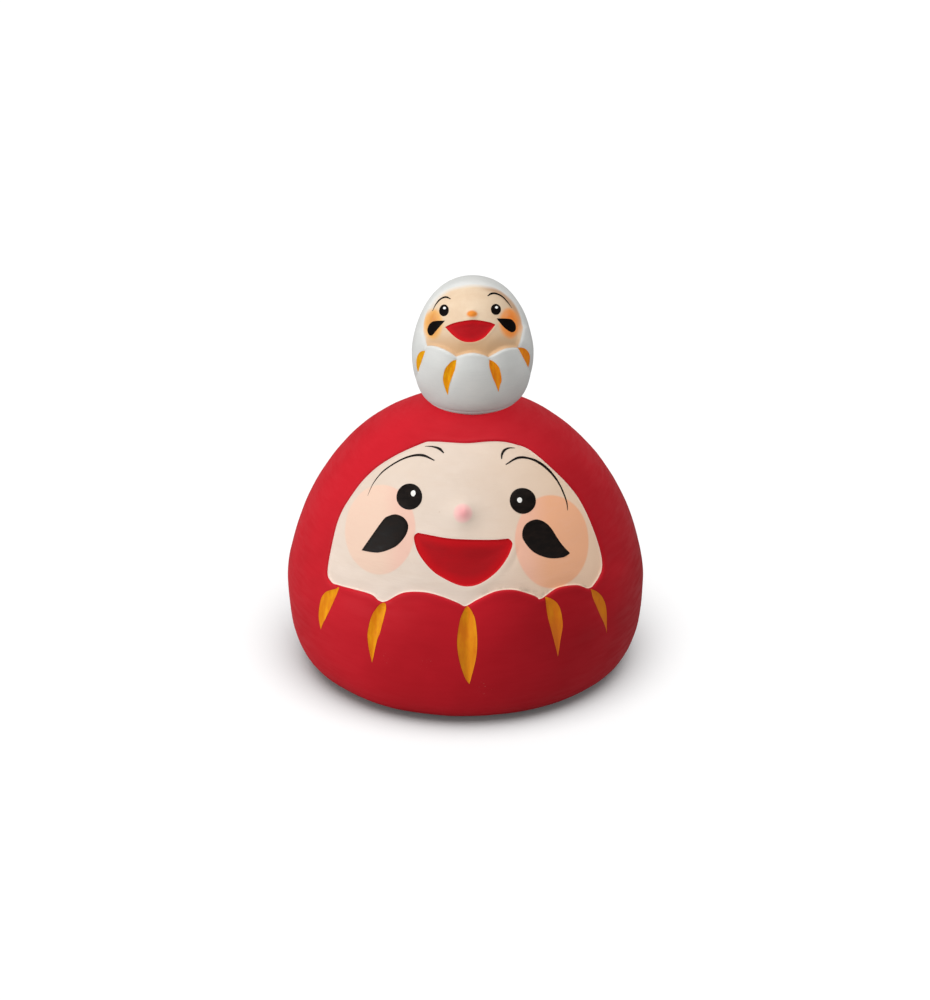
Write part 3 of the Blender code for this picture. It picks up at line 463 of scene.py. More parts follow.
LARGE_LOBE_HEIGHT, LARGE_LOBE_LEVEL = 1.25, 0.45
SMALL_LOBE_HEIGHT, SMALL_LOBE_LEVEL = 1.5, 0.55
LARGE_FACE_SINK, SMALL_FACE_SINK = 1.0, 0.9
GROOVE_EDGE = 0.12               # step down at a groove's edge
SMALL_HOOD_ROLL = 0.75
FOOT_LINE_DEPTH, FOOT_LINE_WIDTH = 0.45, 0.38
LARGE_GROOVE_SLOPE, SMALL_GROOVE_SLOPE = 0.30, 0.32
# Smile creases of the large face: centre, radius, first and last angle of each arc.
SMILE_FOLDS = [((-1.0, 52.0), 24.5, -176.0, -138.0), ((-1.0, 52.0), 23.5, -42.0, -4.0)]
SMILE_DEPTH, SMILE_WIDTH, SMILE_TAPER = 0.16, 0.9, 14


def smile_creases(chart):
    """Soft folds running down beside the corners of the large mouth."""
    total = np.zeros(len(chart))
    for centre, radius, start, end in SMILE_FOLDS:
        du, dv = chart[:, 0] - centre[0], chart[:, 1] - centre[1]
        turn = np.degrees(np.arctan2(dv, du))
        along = ease(turn, start, start + SMILE_TAPER) * ease(-turn, -end, SMILE_TAPER - end)
        total += along * ridge(np.hypot(du, dv), radius, SMILE_WIDTH)
    return total


def large_relief(form, angle, arc):
    """Padded lobes below the face, grooves under the gold, and the face pressed in."""
    base = form.place(angle, arc, 0.0, False)
    height = 0.16 * lumps(base, 34.0, 11) + 0.05 * lumps(base, 11.0, 12)
    front = np.flatnonzero(np.abs(angle) < math.radians(84))
    chart = form.chart(angle[front], arc[front])
    u, v = chart.T
    face = depth(chart, LARGE_DRAWINGS["face"])
    robe = ease(v, 3.0, 26.0) * ease(-v, -42.0, -33.0) * ease(-np.abs(u), -76.0, -62.0)
    h = LARGE_LOBE_HEIGHT * (lobes(chart, LARGE_CREASES, 13.0) - LARGE_LOBE_LEVEL) * robe
    h += 0.2 * ridge(face, -1.6, 1.5)
    for groove in grooves(chart, LARGE_DRAWINGS, LARGE_GROOVE_SLOPE):
        h -= groove
    skin = -LARGE_FACE_SINK + 0.35 * ease(face, 0.4, 5.0) + 0.3 * ease(face, 3.0, 15.0)
    mouth = depth(chart, LARGE_DRAWINGS["mouth"], 4.0)
    skin += 0.14 * ridge(mouth, -1.1, 1.3)
    skin -= 0.4 * ease(mouth, 0.0, 0.7) + 0.9 * ease(mouth, 0.5, 9.0)
    skin += bump(chart, LARGE_NOSE_AT, 3.9, 1.7) + bump(chart, LARGE_NOSE_TIP, 1.9, 1.3)
    skin -= SMILE_DEPTH * smile_creases(chart)
    height[front] += h + ease(face, -0.6, 0.45) * (skin - h)
    return height


def small_relief(form, angle, arc):
    """The same on the small doll, with a rolled hood; all of it dies out before the side seams."""
    base = form.place(angle, arc, 0.0, False)
    height = 0.06 * lumps(base, 14.0, 21)
    height -= FOOT_LINE_DEPTH * ridge(base[:, 2] - SEAT_Z, FOOT_LINE, FOOT_LINE_WIDTH)
    front = np.flatnonzero(np.abs(angle) < HALF)
    chart = form.chart(angle[front], arc[front])
    u, v = chart.T
    side = np.abs(angle[front])
    face = depth(chart, SMALL_DRAWINGS["face"])
    face = np.minimum(face, 20 - 30 * ease(side, math.radians(72), math.radians(88)))
    fade = 1 - ease(side, math.radians(64), math.radians(88))
    off_crown = ease(form.along(arc[front], form.radii), 0.0, 12.0)
    collar = np.where(u < 0, 29.6, 31.3)
    robe = ease(-v, -collar - 1.3, -collar + 0.9)
    padding = SMALL_LOBE_HEIGHT * (lobes(chart, SMALL_CREASES, 5.0) - SMALL_LOBE_LEVEL)
    h = robe * fade * (SMALL_LOBE_LEVEL + ease(v, 1.0, 13.0) * padding)
    roll = SMALL_HOOD_ROLL * off_crown * ridge(face, -2.4, np.where(face < -2.4, 5.0, 2.0))
    h += (1 - robe) * fade * (roll - 0.25 * ease(side, math.radians(55), math.radians(80)))
    for groove in grooves(chart, SMALL_DRAWINGS, SMALL_GROOVE_SLOPE):
        h -= fade * groove
    skin = -SMALL_FACE_SINK + 0.5 * ease(face, 0.8, 6.0)
    mouth = depth(chart, SMALL_DRAWINGS["mouth"], 3.0)
    skin += 0.12 * ridge(mouth, -0.5, 0.6)
    skin -= 0.35 * ease(mouth, 0.0, 0.4) + 0.35 * ease(mouth, 0.2, 3.0)
    skin += bump(chart, SMALL_NOSE_AT, 1.35, 1.25)
    height[front] += h + ease(face, -0.7, 1.2) * (skin - h)
    return height


large_form.relief = large_relief
small_form.relief = small_relief


# --------------------------------------------------------------------- materials
def linear(*channels):
    values = []
    for channel in channels:
        value = channel / 255
        values.append(value / 12.92 if value <= 0.04045 else ((value + 0.055) / 1.055) ** 2.4)
    return (*values, 1.0)


class Paint:
    """One procedural material under construction."""

    def __init__(self, name, roughness, specular=0.25):
        self.material = bpy.data.materials.new(name)
        self.material.use_nodes = True
        self.tree = self.material.node_tree
        self.shader = self.tree.nodes["Principled BSDF"]
        self.shader.inputs["Roughness"].default_value = roughness
        self.shader.inputs["Specular IOR Level"].default_value = specular
        self.where = self.node("ShaderNodeTexCoord").outputs["Object"]

    def node(self, kind, inputs=(), **settings):
        made = self.tree.nodes.new(kind)
        for key, value in settings.items():
            setattr(made, key, value)
        for key, value in dict(inputs).items():
            if isinstance(value, bpy.types.NodeSocket):
                self.tree.links.new(value, made.inputs[key])
            else:
                made.inputs[key].default_value = value
        return made

    def stretched(self, factors):
        scaled = self.node("ShaderNodeVectorMath", {0: self.where, 1: factors}, operation="MULTIPLY")
        return scaled.outputs[0]

    def noise(self, scale, detail=3.0, roughness=0.55, stretch=(1, 1, 1)):
        made = self.node("ShaderNodeTexNoise", {"Vector": self.stretched(stretch), "Scale": scale,
                                                "Detail": detail, "Roughness": roughness})
        return made.outputs["Fac"]

    def span(self, value, low, high, to_low=0.0, to_high=1.0):
        made = self.node("ShaderNodeMapRange", {0: value, 1: low, 2: high, 3: to_low, 4: to_high},
                         interpolation_type="SMOOTHSTEP")
        return made.outputs[0]

    def math(self, kind, first, second):
        return self.node("ShaderNodeMath", {0: first, 1: second}, operation=kind).outputs[0]

    def mix(self, factor, first, second):
        """A colour is a node's output, three displayed channels up to 255, or four linear ones."""
        made = self.node("ShaderNodeMix", data_type="RGBA")
        for key, value in ((0, factor), (6, first), (7, second)):
            if isinstance(value, bpy.types.NodeSocket):
                self.tree.links.new(value, made.inputs[key])
            else:
                displayed = isinstance(value, tuple) and len(value) == 3
                made.inputs[key].default_value = linear(*value) if displayed else value
        return made.outputs[2]

    def blend(self, value, low, high, first, second, most=1.0):
        """first where value is below low, and up to most of second where it is above high."""
        return self.mix(self.span(value, low, high, 0.0, most), first, second)

    def attribute(self, name):
        return self.node("ShaderNodeAttribute", attribute_name=name).outputs["Fac"]

    def near(self, point, inner, outer):
        """1 within inner metres of a point, 0 beyond outer."""
        gap = self.node("ShaderNodeVectorMath", {0: self.where, 1: point}, operation="DISTANCE")
        return self.span(gap.outputs["Value"], inner, outer, 1.0, 0.0)

    def finish(self, colour, roughness=None, height=None, bump_distance=0.0001, strength=1.0):
        """roughness is a node's output, or a pattern with the roughness at its low and high ends."""
        self.tree.links.new(colour, self.shader.inputs["Base Color"])
        if isinstance(roughness, tuple):
            pattern, low, high = roughness
            roughness = self.span(pattern, 0.3, 0.7, low, high)
        if roughness is not None:
            self.tree.links.new(roughness, self.shader.inputs["Roughness"])
        if height is not None:
            made = self.node("ShaderNodeBump", {"Height": height, "Distance": bump_distance,
                                                "Strength": strength})
            self.tree.links.new(made.outputs[0], self.shader.inputs["Normal"])
        return self.material


def brushed(paint, size=1.0):
    """Height of fine level brush marks with a soft grain under them."""
    marks = paint.noise(160 / size, 4.0, 0.6, (1, 1, 7))
    grain = paint.noise(900 / size, 2.0, 0.5)
    return paint.math("ADD", marks, paint.math("MULTIPLY", grain, 0.25))


# Worn specks of the large body's red: chart place and reach.
SCUFFS = [((-32.5, 0.5), 4.5), ((-16.0, -1.5), 5.5), ((-63.5, 19.5), 2.6), ((8.0, -12.0), 5.0)]


def red_paint(name):
    """Mottled red with worn specks; in bounced light it counts as grey, so that the floor stays white."""
    paint = Paint(name, 0.62, 0.12)
    patch = paint.noise(28, 3.0, 0.5)
    streak = paint.noise(70, 4.0, 0.6, (1, 1, 6))
    colour = paint.blend(patch, 0.3, 0.7, (186, 20, 33), (197, 24, 38))
    colour = paint.blend(streak, 0.4, 0.8, colour, (168, 16, 26), 0.12)
    speck = paint.span(paint.noise(1500, 2.0, 0.6), 0.66, 0.72)
    bounced = paint.node("ShaderNodeLightPath").outputs["Is Diffuse Ray"]
    for chart, reach in SCUFFS:
        angle, arc = large_form.from_chart([chart])
        point = large_form.place(angle, arc)[0] * MM
        spot = paint.math("MULTIPLY", paint.near(tuple(point), reach * 0.3 * MM, reach * MM), speck)
        colour = paint.mix(paint.math("MULTIPLY", spot, 0.55), colour, (222, 150, 140))
    colour = paint.mix(paint.math("MULTIPLY", bounced, 0.75), colour, (112, 100, 98))
    return paint.finish(colour, (streak, 0.52, 0.68), brushed(paint), 0.00005, 0.7)


def cream_colour(paint):
    """The large face's skin: mottled, with painted shade that makes it deeper high up and warmer towards
    its right side.
    """
    patch = paint.noise(45, 4.0, 0.6)
    streak = paint.noise(90, 4.0, 0.6, (1, 1, 5))
    spot = paint.node("ShaderNodeSeparateXYZ", {0: paint.where})
    # painted shade: the face coat is made deeper towards its top
    high = paint.span(spot.outputs[2], 0.035, 0.1)
    colour = paint.mix(high, (234, 216, 202), (216, 198, 182))
    colour = paint.blend(patch, 0.3, 0.72, colour, (236, 221, 208), 0.3)
    colour = paint.blend(streak, 0.4, 0.8, colour, (216, 194, 175), 0.3)
    # painted warm shade on the face's right side, away from the key light
    right = paint.mix(high, (252, 212, 182), (236, 206, 178))
    return paint.mix(paint.span(spot.outputs[0], -0.012, 0.058), colour, right)


def cream_paint(name):
    """The face coat: paler at its edge, with grey-brown blotches along the lower right of its edge, and a
    few specks.
    """
    paint = Paint(name, 0.62, 0.2)
    colour = cream_colour(paint)
    rim = paint.attribute("rim")
    blotchy = paint.span(paint.noise(260, 4.0, 0.7), 0.42, 0.66)
    # grey-brown blotches in a band just inside the lower right edge of the face
    grime = paint.math("MULTIPLY", paint.attribute("grime"), blotchy)
    colour = paint.mix(paint.math("MULTIPLY", grime, 0.6), colour, (176, 158, 138))
    colour = paint.mix(paint.span(rim, 0.05, 0.4, 0.45, 0.0), colour, (240, 214, 206))
    speck = paint.span(paint.noise(420, 2.0, 0.5), 0.74, 0.8, 0.0, 0.35)
    colour = paint.mix(speck, colour, (190, 160, 135))
    rough = paint.span(rim, 0.0, 9.0, 0.55, 0.68)
    return paint.finish(colour, rough, brushed(paint), 0.0001, 0.8)


def blush_paint(name, near_mouth, outer, towards):
    """A round of blush with a soft edge, pinker on the side nearer the mouth."""
    paint = Paint(name, 0.66, 0.18)
    streak = paint.noise(110, 4.0, 0.6, (1, 1, 5))
    across = paint.node("ShaderNodeSeparateXYZ", {0: paint.where}).outputs[0]
    side = paint.span(across, towards[0], towards[1])
    colour = paint.mix(side, near_mouth, outer)
    colour = paint.blend(streak, 0.45, 0.8, colour, near_mouth, 0.25)
    colour = paint.mix(paint.span(paint.attribute("rim"), 0.05, 1.0), cream_colour(paint), colour)
    return paint.finish(colour, (streak, 0.6, 0.72), brushed(paint), 0.0001, 0.8)


def mouth_paint(name, size=1.0):
    """Red, brightest along the lips and deeper in the middle."""
    paint = Paint(name, 0.55, 0.1)
    patch = paint.noise(55 / size, 3.0, 0.55)
    streak = paint.noise(120 / size, 3.0, 0.6, (1, 1, 4))
    colour = paint.blend(patch, 0.3, 0.7, (162, 16, 24), (174, 14, 24))
    colour = paint.blend(streak, 0.4, 0.8, colour, (150, 12, 18), 0.3)
    lips = paint.span(paint.attribute("rim"), 0.3 * size, 5.0 * size, 0.7, 0.0)
    colour = paint.mix(lips, colour, (200, 12, 22))
    return paint.finish(colour, (streak, 0.48, 0.6), brushed(paint, size), 0.00008, 0.7)


def ink_paint(name, size=1.0):
    """Black ink, deeper on the small doll."""
    paint = Paint(name, 0.5, 0.12 if size == 1.0 else 0.04)
    streak = paint.noise(190 / size, 4.0, 0.6, (1, 1, 3))
    pale = (27, 17, 12) if size == 1.0 else (12, 8, 9)
    colour = paint.blend(streak, 0.35, 0.75, (10, 4, 2), pale)
    return paint.finish(colour, (streak, 0.42, 0.58), brushed(paint, size), 0.00008, 0.6)


def gold_paint(name, size=1.0, painted_shading=0.0):
    """Ochre gold with painted shading: a stroke in painted shade is orange towards its lower end, and one
    below 0 takes painted light and is yellower.
    """
    paint = Paint(name, 0.5, 0.14)
    streak = paint.noise(260 / size, 4.0, 0.65, (1.6, 1.6, 0.35))
    patch = paint.noise(90 / size, 3.0, 0.5)
    # painted light: yellower gold for the strokes on the lit side
    painted_light = 16 * max(-painted_shading, 0)
    colour = paint.blend(streak, 0.35, 0.7, (230, 132 + painted_light, 2), (246, 168 + painted_light, 6))
    colour = paint.blend(patch, 0.4, 0.75, colour, (216, 114 + painted_light, 2), 0.4)
    # painted shade: orange, strongest at the lower ends of the strokes on the shaded side
    painted_shading = max(painted_shading, 0)
    low = paint.span(paint.attribute("low"), 0.0, 1.0, 0.45 * painted_shading, painted_shading)
    colour = paint.mix(low, colour, (246, 122, 36))
    return paint.finish(colour, (streak, 0.44, 0.56), streak, 0.0001, 0.8)


def glint_paint(name):
    paint = Paint(name, 0.4, 0.4)
    patch = paint.noise(500, 2.0, 0.5)
    colour = paint.blend(patch, 0.3, 0.7, (232, 230, 224), (250, 249, 245))
    return paint.finish(colour, None, patch, 0.00004, 0.5)


def nose_paint(name):
    paint = Paint(name, 0.52, 0.25)
    patch = paint.noise(420, 3.0, 0.6)
    inward = paint.attribute("rim")
    colour = paint.blend(inward, 1.0, 3.8, (238, 190, 183), (238, 168, 168))
    colour = paint.blend(patch, 0.4, 0.75, colour, (230, 182, 176), 0.4)
    colour = paint.blend(inward, 0.0, 1.5, cream_colour(paint), colour)
    return paint.finish(colour, None, brushed(paint, 0.6), 0.00008, 0.7)


def white_paint(name):
    paint = Paint(name, 0.58, 0.3)
    patch = paint.noise(70, 3.0, 0.55)
    streak = paint.noise(150, 4.0, 0.6, (1, 1, 9))
    colour = paint.blend(patch, 0.3, 0.7, (207, 208, 205), (214, 214, 211))
    colour = paint.blend(streak, 0.45, 0.8, colour, (203, 205, 203), 0.4)
    return paint.finish(colour, (streak, 0.5, 0.64), brushed(paint, 0.6), 0.00009, 0.8)


def airbrushed_skin(paint):
    """Skin colour, deeper low down and in the shade, fading to the white of the hood at its edge."""
    patch = paint.noise(120, 4.0, 0.6)
    colour = paint.blend(patch, 0.3, 0.7, (217, 190, 160), (223, 200, 172))
    for key, other in (("low", (206, 166, 125)), ("shade", (190, 154, 124)), ("edge", (216, 214, 209))):
        colour = paint.mix(paint.attribute(key), colour, other)
    return colour


def small_skin(name):
    paint = Paint(name, 0.6, 0.25)
    colour = airbrushed_skin(paint)
    return paint.finish(colour, None, brushed(paint, 0.6), 0.00008, 0.7)


def small_cheek(name, tint, core):
    """Apricot sprayed round a whisker, strongest in the middle."""
    paint = Paint(name, 0.6, 0.15)
    skin = airbrushed_skin(paint)
    cloud = paint.noise(260, 3.0, 0.55)
    inward = paint.attribute("rim")
    spray = paint.math("MULTIPLY", paint.span(inward, 0.0, 2.2), paint.span(cloud, 0.2, 0.6, 0.8, 1.0))
    colour = paint.mix(spray, skin, paint.blend(inward, 1.0, 5.0, tint, core))
    return paint.finish(colour, None, brushed(paint, 0.6), 0.00008, 0.7)


def small_nose(name):
    paint = Paint(name, 0.55, 0.2)
    skin = airbrushed_skin(paint)
    spray = paint.span(paint.attribute("rim"), 0.0, 1.2)
    colour = paint.mix(spray, skin, (226, 134, 44))
    return paint.finish(colour, None, brushed(paint, 0.6), 0.00006, 0.6)


def paper(name):
    paint = Paint(name, 0.88, 0.15)
    fibre = paint.noise(420, 5.0, 0.7, (1, 1, 0.4))
    patch = paint.noise(60, 3.0, 0.5)
    colour = paint.blend(fibre, 0.3, 0.7, (196, 178, 145), (222, 208, 180))
    colour = paint.blend(patch, 0.4, 0.8, colour, (178, 156, 122), 0.4)
    return paint.finish(colour, None, fibre, 0.0002, 0.8)


def clay(name):
    paint = Paint(name, 0.92, 0.15)
    grit = paint.noise(700, 4.0, 0.65)
    patch = paint.noise(60, 3.0, 0.5)
    colour = paint.blend(grit, 0.3, 0.75, (128, 84, 58), (164, 118, 86))
    colour = paint.blend(patch, 0.4, 0.8, colour, (110, 74, 52), 0.5)
    return paint.finish(colour, None, grit, 0.0004, 0.9)


def wood(name):
    paint = Paint(name, 0.7, 0.2)
    grain = paint.noise(900, 5.0, 0.65, (1, 1, 0.06))
    ring = paint.noise(240, 3.0, 0.5, (1, 1, 0.1))
    colour = paint.blend(grain, 0.3, 0.72, (184, 140, 88), (222, 188, 138))
    colour = paint.blend(ring, 0.45, 0.75, colour, (164, 120, 72), 0.5)
    return paint.finish(colour, (grain, 0.6, 0.8), grain, 0.00015, 0.8)


# ------------------------------------------------------------------------ meshes
SHARP = math.radians(48)         # edges that turn by more than this stay crisp
WINDOW_END, LINES_END = math.radians(82), math.radians(86)    # fine mesh and crease lines stop here
ROW = 0.866                      # row height of a triangular grid for a spacing of 1
HOLE_STEPS = 18                  # segments in half the dowel's bore
KEEP_INSIDE, SAME_POINT = 1, 1e-5


def piece(name, points, faces, material, body, node, slot, attributes=()):
    """A closed piece of the doll from points in millimetres; it stands for the CAD node."""
    mesh = bpy.data.meshes.new(name)
    mesh.from_pydata((np.asarray(points) * MM).tolist(), [], faces)
    shell = bmesh.new()
    shell.from_mesh(mesh)
    bmesh.ops.recalc_face_normals(shell, faces=shell.faces)
    shell.to_mesh(mesh)
    shell.free()
    mesh.shade_smooth()
    mesh.set_sharp_from_angle(angle=SHARP)
    for key, values in dict(attributes).items():
        layer = mesh.attributes.new(key, "FLOAT", "POINT")
        layer.data.foreach_set("value", np.asarray(values, dtype=np.float32))
    mesh.materials.append(material)
    item = bpy.data.objects.new(name, mesh)
    bpy.context.collection.objects.link(item)
    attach(item, body)
    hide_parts(node)
    return item


def lathe(name, profile, centre_x, segments, material, body, node, slot):
    """A turned piece; the profile is a closed run of (radius, z), on the axis where radius is 0."""
    points, rings = [], []
    for radius, z in profile:
        if radius == 0:
            rings.append([len(points)] * segments)
            points.append((centre_x, 0, z))
            continue
        rings.append(list(range(len(points), len(points) + segments)))
        for i in range(segments):
            turn = 2 * math.pi * i / segments
            points.append((centre_x + radius * math.cos(turn), radius * math.sin(turn), z))
    faces = []
    for first, second in zip(rings, rings[1:] + rings[:1]):
        for i in range(segments):
            j = (i + 1) % segments
            corners = list(dict.fromkeys((first[i], first[j], second[j], second[i])))
            if len(corners) > 2:
                faces.append(corners)
    return piece(name, points, faces, material, body, node, slot)


def rounded(profile, radius, steps=4):
    """The closed profile with its corners rounded, except those on the axis."""
    result = []
    count = len(profile)
    for i, corner in enumerate(profile):
        if corner[0] == 0:
            result.append(corner)
            continue
        here = np.array(corner, dtype=float)
        ends = []
        for other in (profile[i - 1], profile[(i + 1) % count]):
            way = np.array(other, dtype=float) - here
            length = np.hypot(*way)
            ends.append(here + way / length * min(radius, length / 2.2))
        for k in range(steps + 1):
            t = k / steps
            point = (1 - t) ** 2 * ends[0] + 2 * t * (1 - t) * here + t * t * ends[1]
            result.append((float(point[0]), float(point[1])))
    return result


def fill(border, lines, scatter, clear):
    """Flat points and triangles inside the border that keep to the lines."""
    tree = KDTree(sum(len(line) for line in lines) + len(border))
    index = 0
    for line in [border] + lines:
        for point in line:
            tree.insert((point[0], point[1], 0.0), index)
            index += 1
    tree.balance()
    room = np.array([tree.find((p[0], p[1], 0.0))[2] for p in scatter])
    scatter = scatter[room > clear]
    coordinates = [Vector(p) for p in border]
    edges = [(i, (i + 1) % len(border)) for i in range(len(border))]
    for line in lines:
        start = len(coordinates)
        coordinates.extend(Vector(p) for p in line)
        edges.extend((start + i, start + i + 1) for i in range(len(line) - 1))
    coordinates.extend(Vector(p) for p in scatter)
    points, _, faces, origins, _, _ = delaunay_2d_cdt(coordinates, edges, [], KEEP_INSIDE, SAME_POINT, True)
    where = {}
    for i, sources in enumerate(origins):
        for source in sources:
            where[source] = i
    rim = [where[i] for i in range(len(border))]
    return np.array([tuple(p) for p in points]), [tuple(face) for face in faces], rim


def grid(low, high, spacing):
    rows = []
    for k, y in enumerate(np.arange(low[1], high[1], spacing * ROW)):
        xs = np.arange(low[0] + (k % 2) * spacing / 2, high[0], spacing)
        rows.append(np.column_stack((xs, np.full(len(xs), y))))
    return np.vstack(rows)


def arc_at_radius(form, radius):
    upper = form.radii.argmax()
    return np.interp(-radius, -form.radii[upper:], form.arcs[upper:])


def half_border(form, opening, spacing, front, bore_x):
    """The unrolled edge of a half shell; a bore at bore_x breaks the crown."""
    def seam(side, end):
        count = int((end - opening) / spacing)
        arcs = np.linspace(opening, end, count + 1)
        return [(side * HALF * form.along(arc, form.radii), arc) for arc in arcs]

    east = 1 if front else -1
    across = int(2 * HALF * form.along(opening, form.radii) / spacing)
    wide = HALF * form.along(opening, form.radii)
    border = [(wide * (2 * i / across - 1), opening) for i in range(across)]
    if bore_x is None:
        crown = [(0.0, form.length)]
        return np.array(border + seam(1, form.length)[:-1] + crown + seam(-1, form.length)[-2:0:-1])
    hole = []
    for i in range(HOLE_STEPS + 1):
        turn = math.pi * i / HOLE_STEPS
        x, y = bore_x + BORE * math.cos(turn), BORE * math.sin(turn)
        angle, radius = math.atan2(x, y) * east, math.hypot(x, y)
        arc = arc_at_radius(form, radius)
        hole.append((angle * form.along(arc, form.radii), arc))
    near = seam(east, arc_at_radius(form, bore_x + BORE))[:-1] + hole + [(0.0, form.length)]
    far = seam(-east, form.length)[:-1]
    if front:
        return np.array(border + near + far[:0:-1])
    return np.array(border + far + near[::-1][:-1])


def half_sheet(form, opening, front, spacing, lines, bore_x, window=None):
    """The unrolled edge and loose points of a half shell, closer together inside the chart window."""
    coarse, fine = spacing["front" if front else "back"], spacing["fine" if front else "back"]
    border = half_border(form, opening, coarse, front, bore_x)
    low, high = border.min(0), border.max(0)
    points = grid(low, high, coarse)
    if window:
        close = grid(low, high, fine)
        points = points[~in_window(form, points, window)]
        points = np.vstack((points, close[in_window(form, close, window)]))
    arc = form.unflat(points)[1]
    reach = HALF * form.along(arc, form.radii) - np.abs(points[:, 0])
    points = points[(reach > 0.3 * fine) & (arc > opening + 0.3 * coarse) & (arc < form.length)]
    return border, points, lines


def in_window(form, flat, window):
    """Which unrolled points lie in the window, on the front and not down by the base."""
    angle, arc = form.unflat(flat)
    chart = form.chart(np.clip(angle, -HALF, HALF), arc)
    inside = ((chart > window[0]) & (chart < window[1])).all(1) & (np.abs(angle) < WINDOW_END)
    return inside & (arc > form.arcs[form.radii.argmax()] * 0.55)


def half_shell(size, half, form, sheet, spacing, wall, material, body, slot, seat=None):
    """A half shell: the modelled outer face, a plain inner face and the edge between them."""
    border, scatter, lines = sheet
    flat, faces, rim = fill(border, lines, scatter, spacing["clear"])
    low, high = border.min(0), border.max(0)
    inner_grid = grid(low, high, spacing["inner"])
    inner_flat, inner_faces, inner_rim = fill(border, [], inner_grid, spacing["inner"] * 0.4)
    meridian = 0.0 if half == "front" else math.pi

    def surface(points, lift):
        angle, arc = form.unflat(points)
        angle = (angle + meridian + math.pi) % (2 * math.pi) - math.pi
        placed = form.place(angle, arc, lift)
        return seated(placed, seat, lift) if seat else placed

    outer, inner = surface(flat, 0.0), surface(inner_flat, -wall)
    count = len(outer)
    solid = list(faces) + [tuple(count + i for i in reversed(face)) for face in inner_faces]
    for k in range(len(rim)):
        a, b = rim[k], rim[(k + 1) % len(rim)]
        c, d = count + inner_rim[(k + 1) % len(rim)], count + inner_rim[k]
        solid.append((b, a, d, c))
    piece(f"{size}_{half}_body", np.vstack((outer, inner)), solid, material, body,
          f"{size}_{half}_shell", slot)
    return flat, faces


def seated(points, seat, lift):
    """The crown sanded flat under the small doll."""
    x, z, radius = seat
    spread = np.hypot(points[:, 0] - x, points[:, 1])
    t = 1 - ease(spread, radius - 0.9, radius + 0.2)
    low = np.minimum(points[:, 2], z + lift)
    points[:, 2] += t * (low - points[:, 2])
    return points


class Layer:
    """How a coat lies: lift off the shell, thickness, extra in the middle, and how far in that is full."""

    def __init__(self, lift, thick, dome=0.0, reach=1.0):
        self.lift, self.thick, self.dome, self.reach = lift, thick, dome, reach


def film(name, form, flat, faces, chosen, layer, edge, material, body, node, slot, attributes):
    """A layer of paint over the chosen triangles; edge is each point's distance in from its edge."""
    used = np.unique(np.array([faces[i] for i in chosen]))
    order = {int(old): new for new, old in enumerate(used)}
    local = [tuple(order[i] for i in faces[k]) for k in chosen]
    angle, arc = form.unflat(flat[used])
    thick = layer.thick + layer.dome * np.sqrt(np.clip(edge[used] / layer.reach, 0, 1))
    top = form.place(angle, arc, layer.lift + thick)
    bottom = form.place(angle, arc, np.full(len(used), layer.lift))
    count = len(used)
    solid = list(local) + [tuple(count + i for i in reversed(face)) for face in local]
    sides = set()
    for face in local:
        for i, start in enumerate(face):
            sides.add((start, face[(i + 1) % len(face)]))
    for start, end in sides:
        if (end, start) not in sides:
            solid.append((end, start, count + start, count + end))
    layers = {key: np.tile(values[used], 2) for key, values in attributes.items()}
    return piece(name, np.vstack((top, bottom)), solid, material, body, node, slot, layers)


# ------------------------------------------------------------------------- dolls
LARGE_LAYERS = {"face": Layer(0.02, 0.08), "mouth": Layer(0.02, 0.08), "nose": Layer(0.11, 0.04),
                "cheek": Layer(0.11, 0.02), "eye": Layer(0.15, 0.06, 0.14, 0.5),
                "glint": Layer(0.36, 0.05, 0.08, 0.6), "whisker": Layer(0.15, 0.06, 0.14, 0.6),
                "brow": Layer(0.15, 0.05, 0.06, 0.3), "stroke": Layer(0.02, 0.06, 0.06, 0.5)}
SMALL_LAYERS = {"face": Layer(0.02, 0.06), "mouth": Layer(0.02, 0.06), "nose": Layer(0.09, 0.02),
                "cheek": Layer(0.09, 0.02), "eye": Layer(0.12, 0.04, 0.08, 0.4),
                "glint": Layer(0.25, 0.03, 0.03, 0.3), "whisker": Layer(0.12, 0.04, 0.08, 0.4),
                "brow": Layer(0.12, 0.03, 0.03, 0.2), "stroke": Layer(0.02, 0.05, 0.04, 0.3)}
# Crease lines of each kind of drawing: how far in from it each one runs, and the step along it.
LARGE_LINES = {"face": ((-2.6, -1.7, -1.0, -0.5, -0.2, 0, 0.25, 0.55, 1.0, 2.1, 3.4), 0.9),
               "mouth": ((-1.8, -1.0, -0.45, 0, 0.3, 0.6, 0.95, 1.6), 0.7),
               "stroke": ((-0.4, 0, 0.25, 0.7), 0.6), "cheek": ((0, 1.0), 0.6), "eye": ((0,), 0.6),
               "glint": ((0,), 0.3), "whisker": ((0,), 0.6), "brow": ((0,), 0.3), "nose": ((0,), 0.5)}
SMALL_LINES = {"face": ((-1.6, -1.0, -0.5, 0, 0.4, 0.8, 1.2, 1.8), 0.45),
               "mouth": ((-0.8, -0.35, 0, 0.2, 0.4, 0.8), 0.35), "stroke": ((-0.25, 0, 0.25), 0.3),
               "cheek": ((0,), 0.35), "eye": ((0,), 0.35), "glint": ((0,), 0.35),
               "whisker": ((0,), 0.35), "brow": ((0,), 0.2), "nose": ((0,), 0.35)}
LARGE_NOSE_RINGS, SMALL_NOSE_RINGS = (0.5, 1.0, 1.6, 2.3, 3.1, 5.2, 6.4, 7.8), (0.4, 0.8, 1.25)
# Chart corners of the finely meshed windows round the faces.
LARGE_WINDOW = ((-67, -14), (67, 98))
SMALL_WINDOW = ((-26, -2), (26, 54))
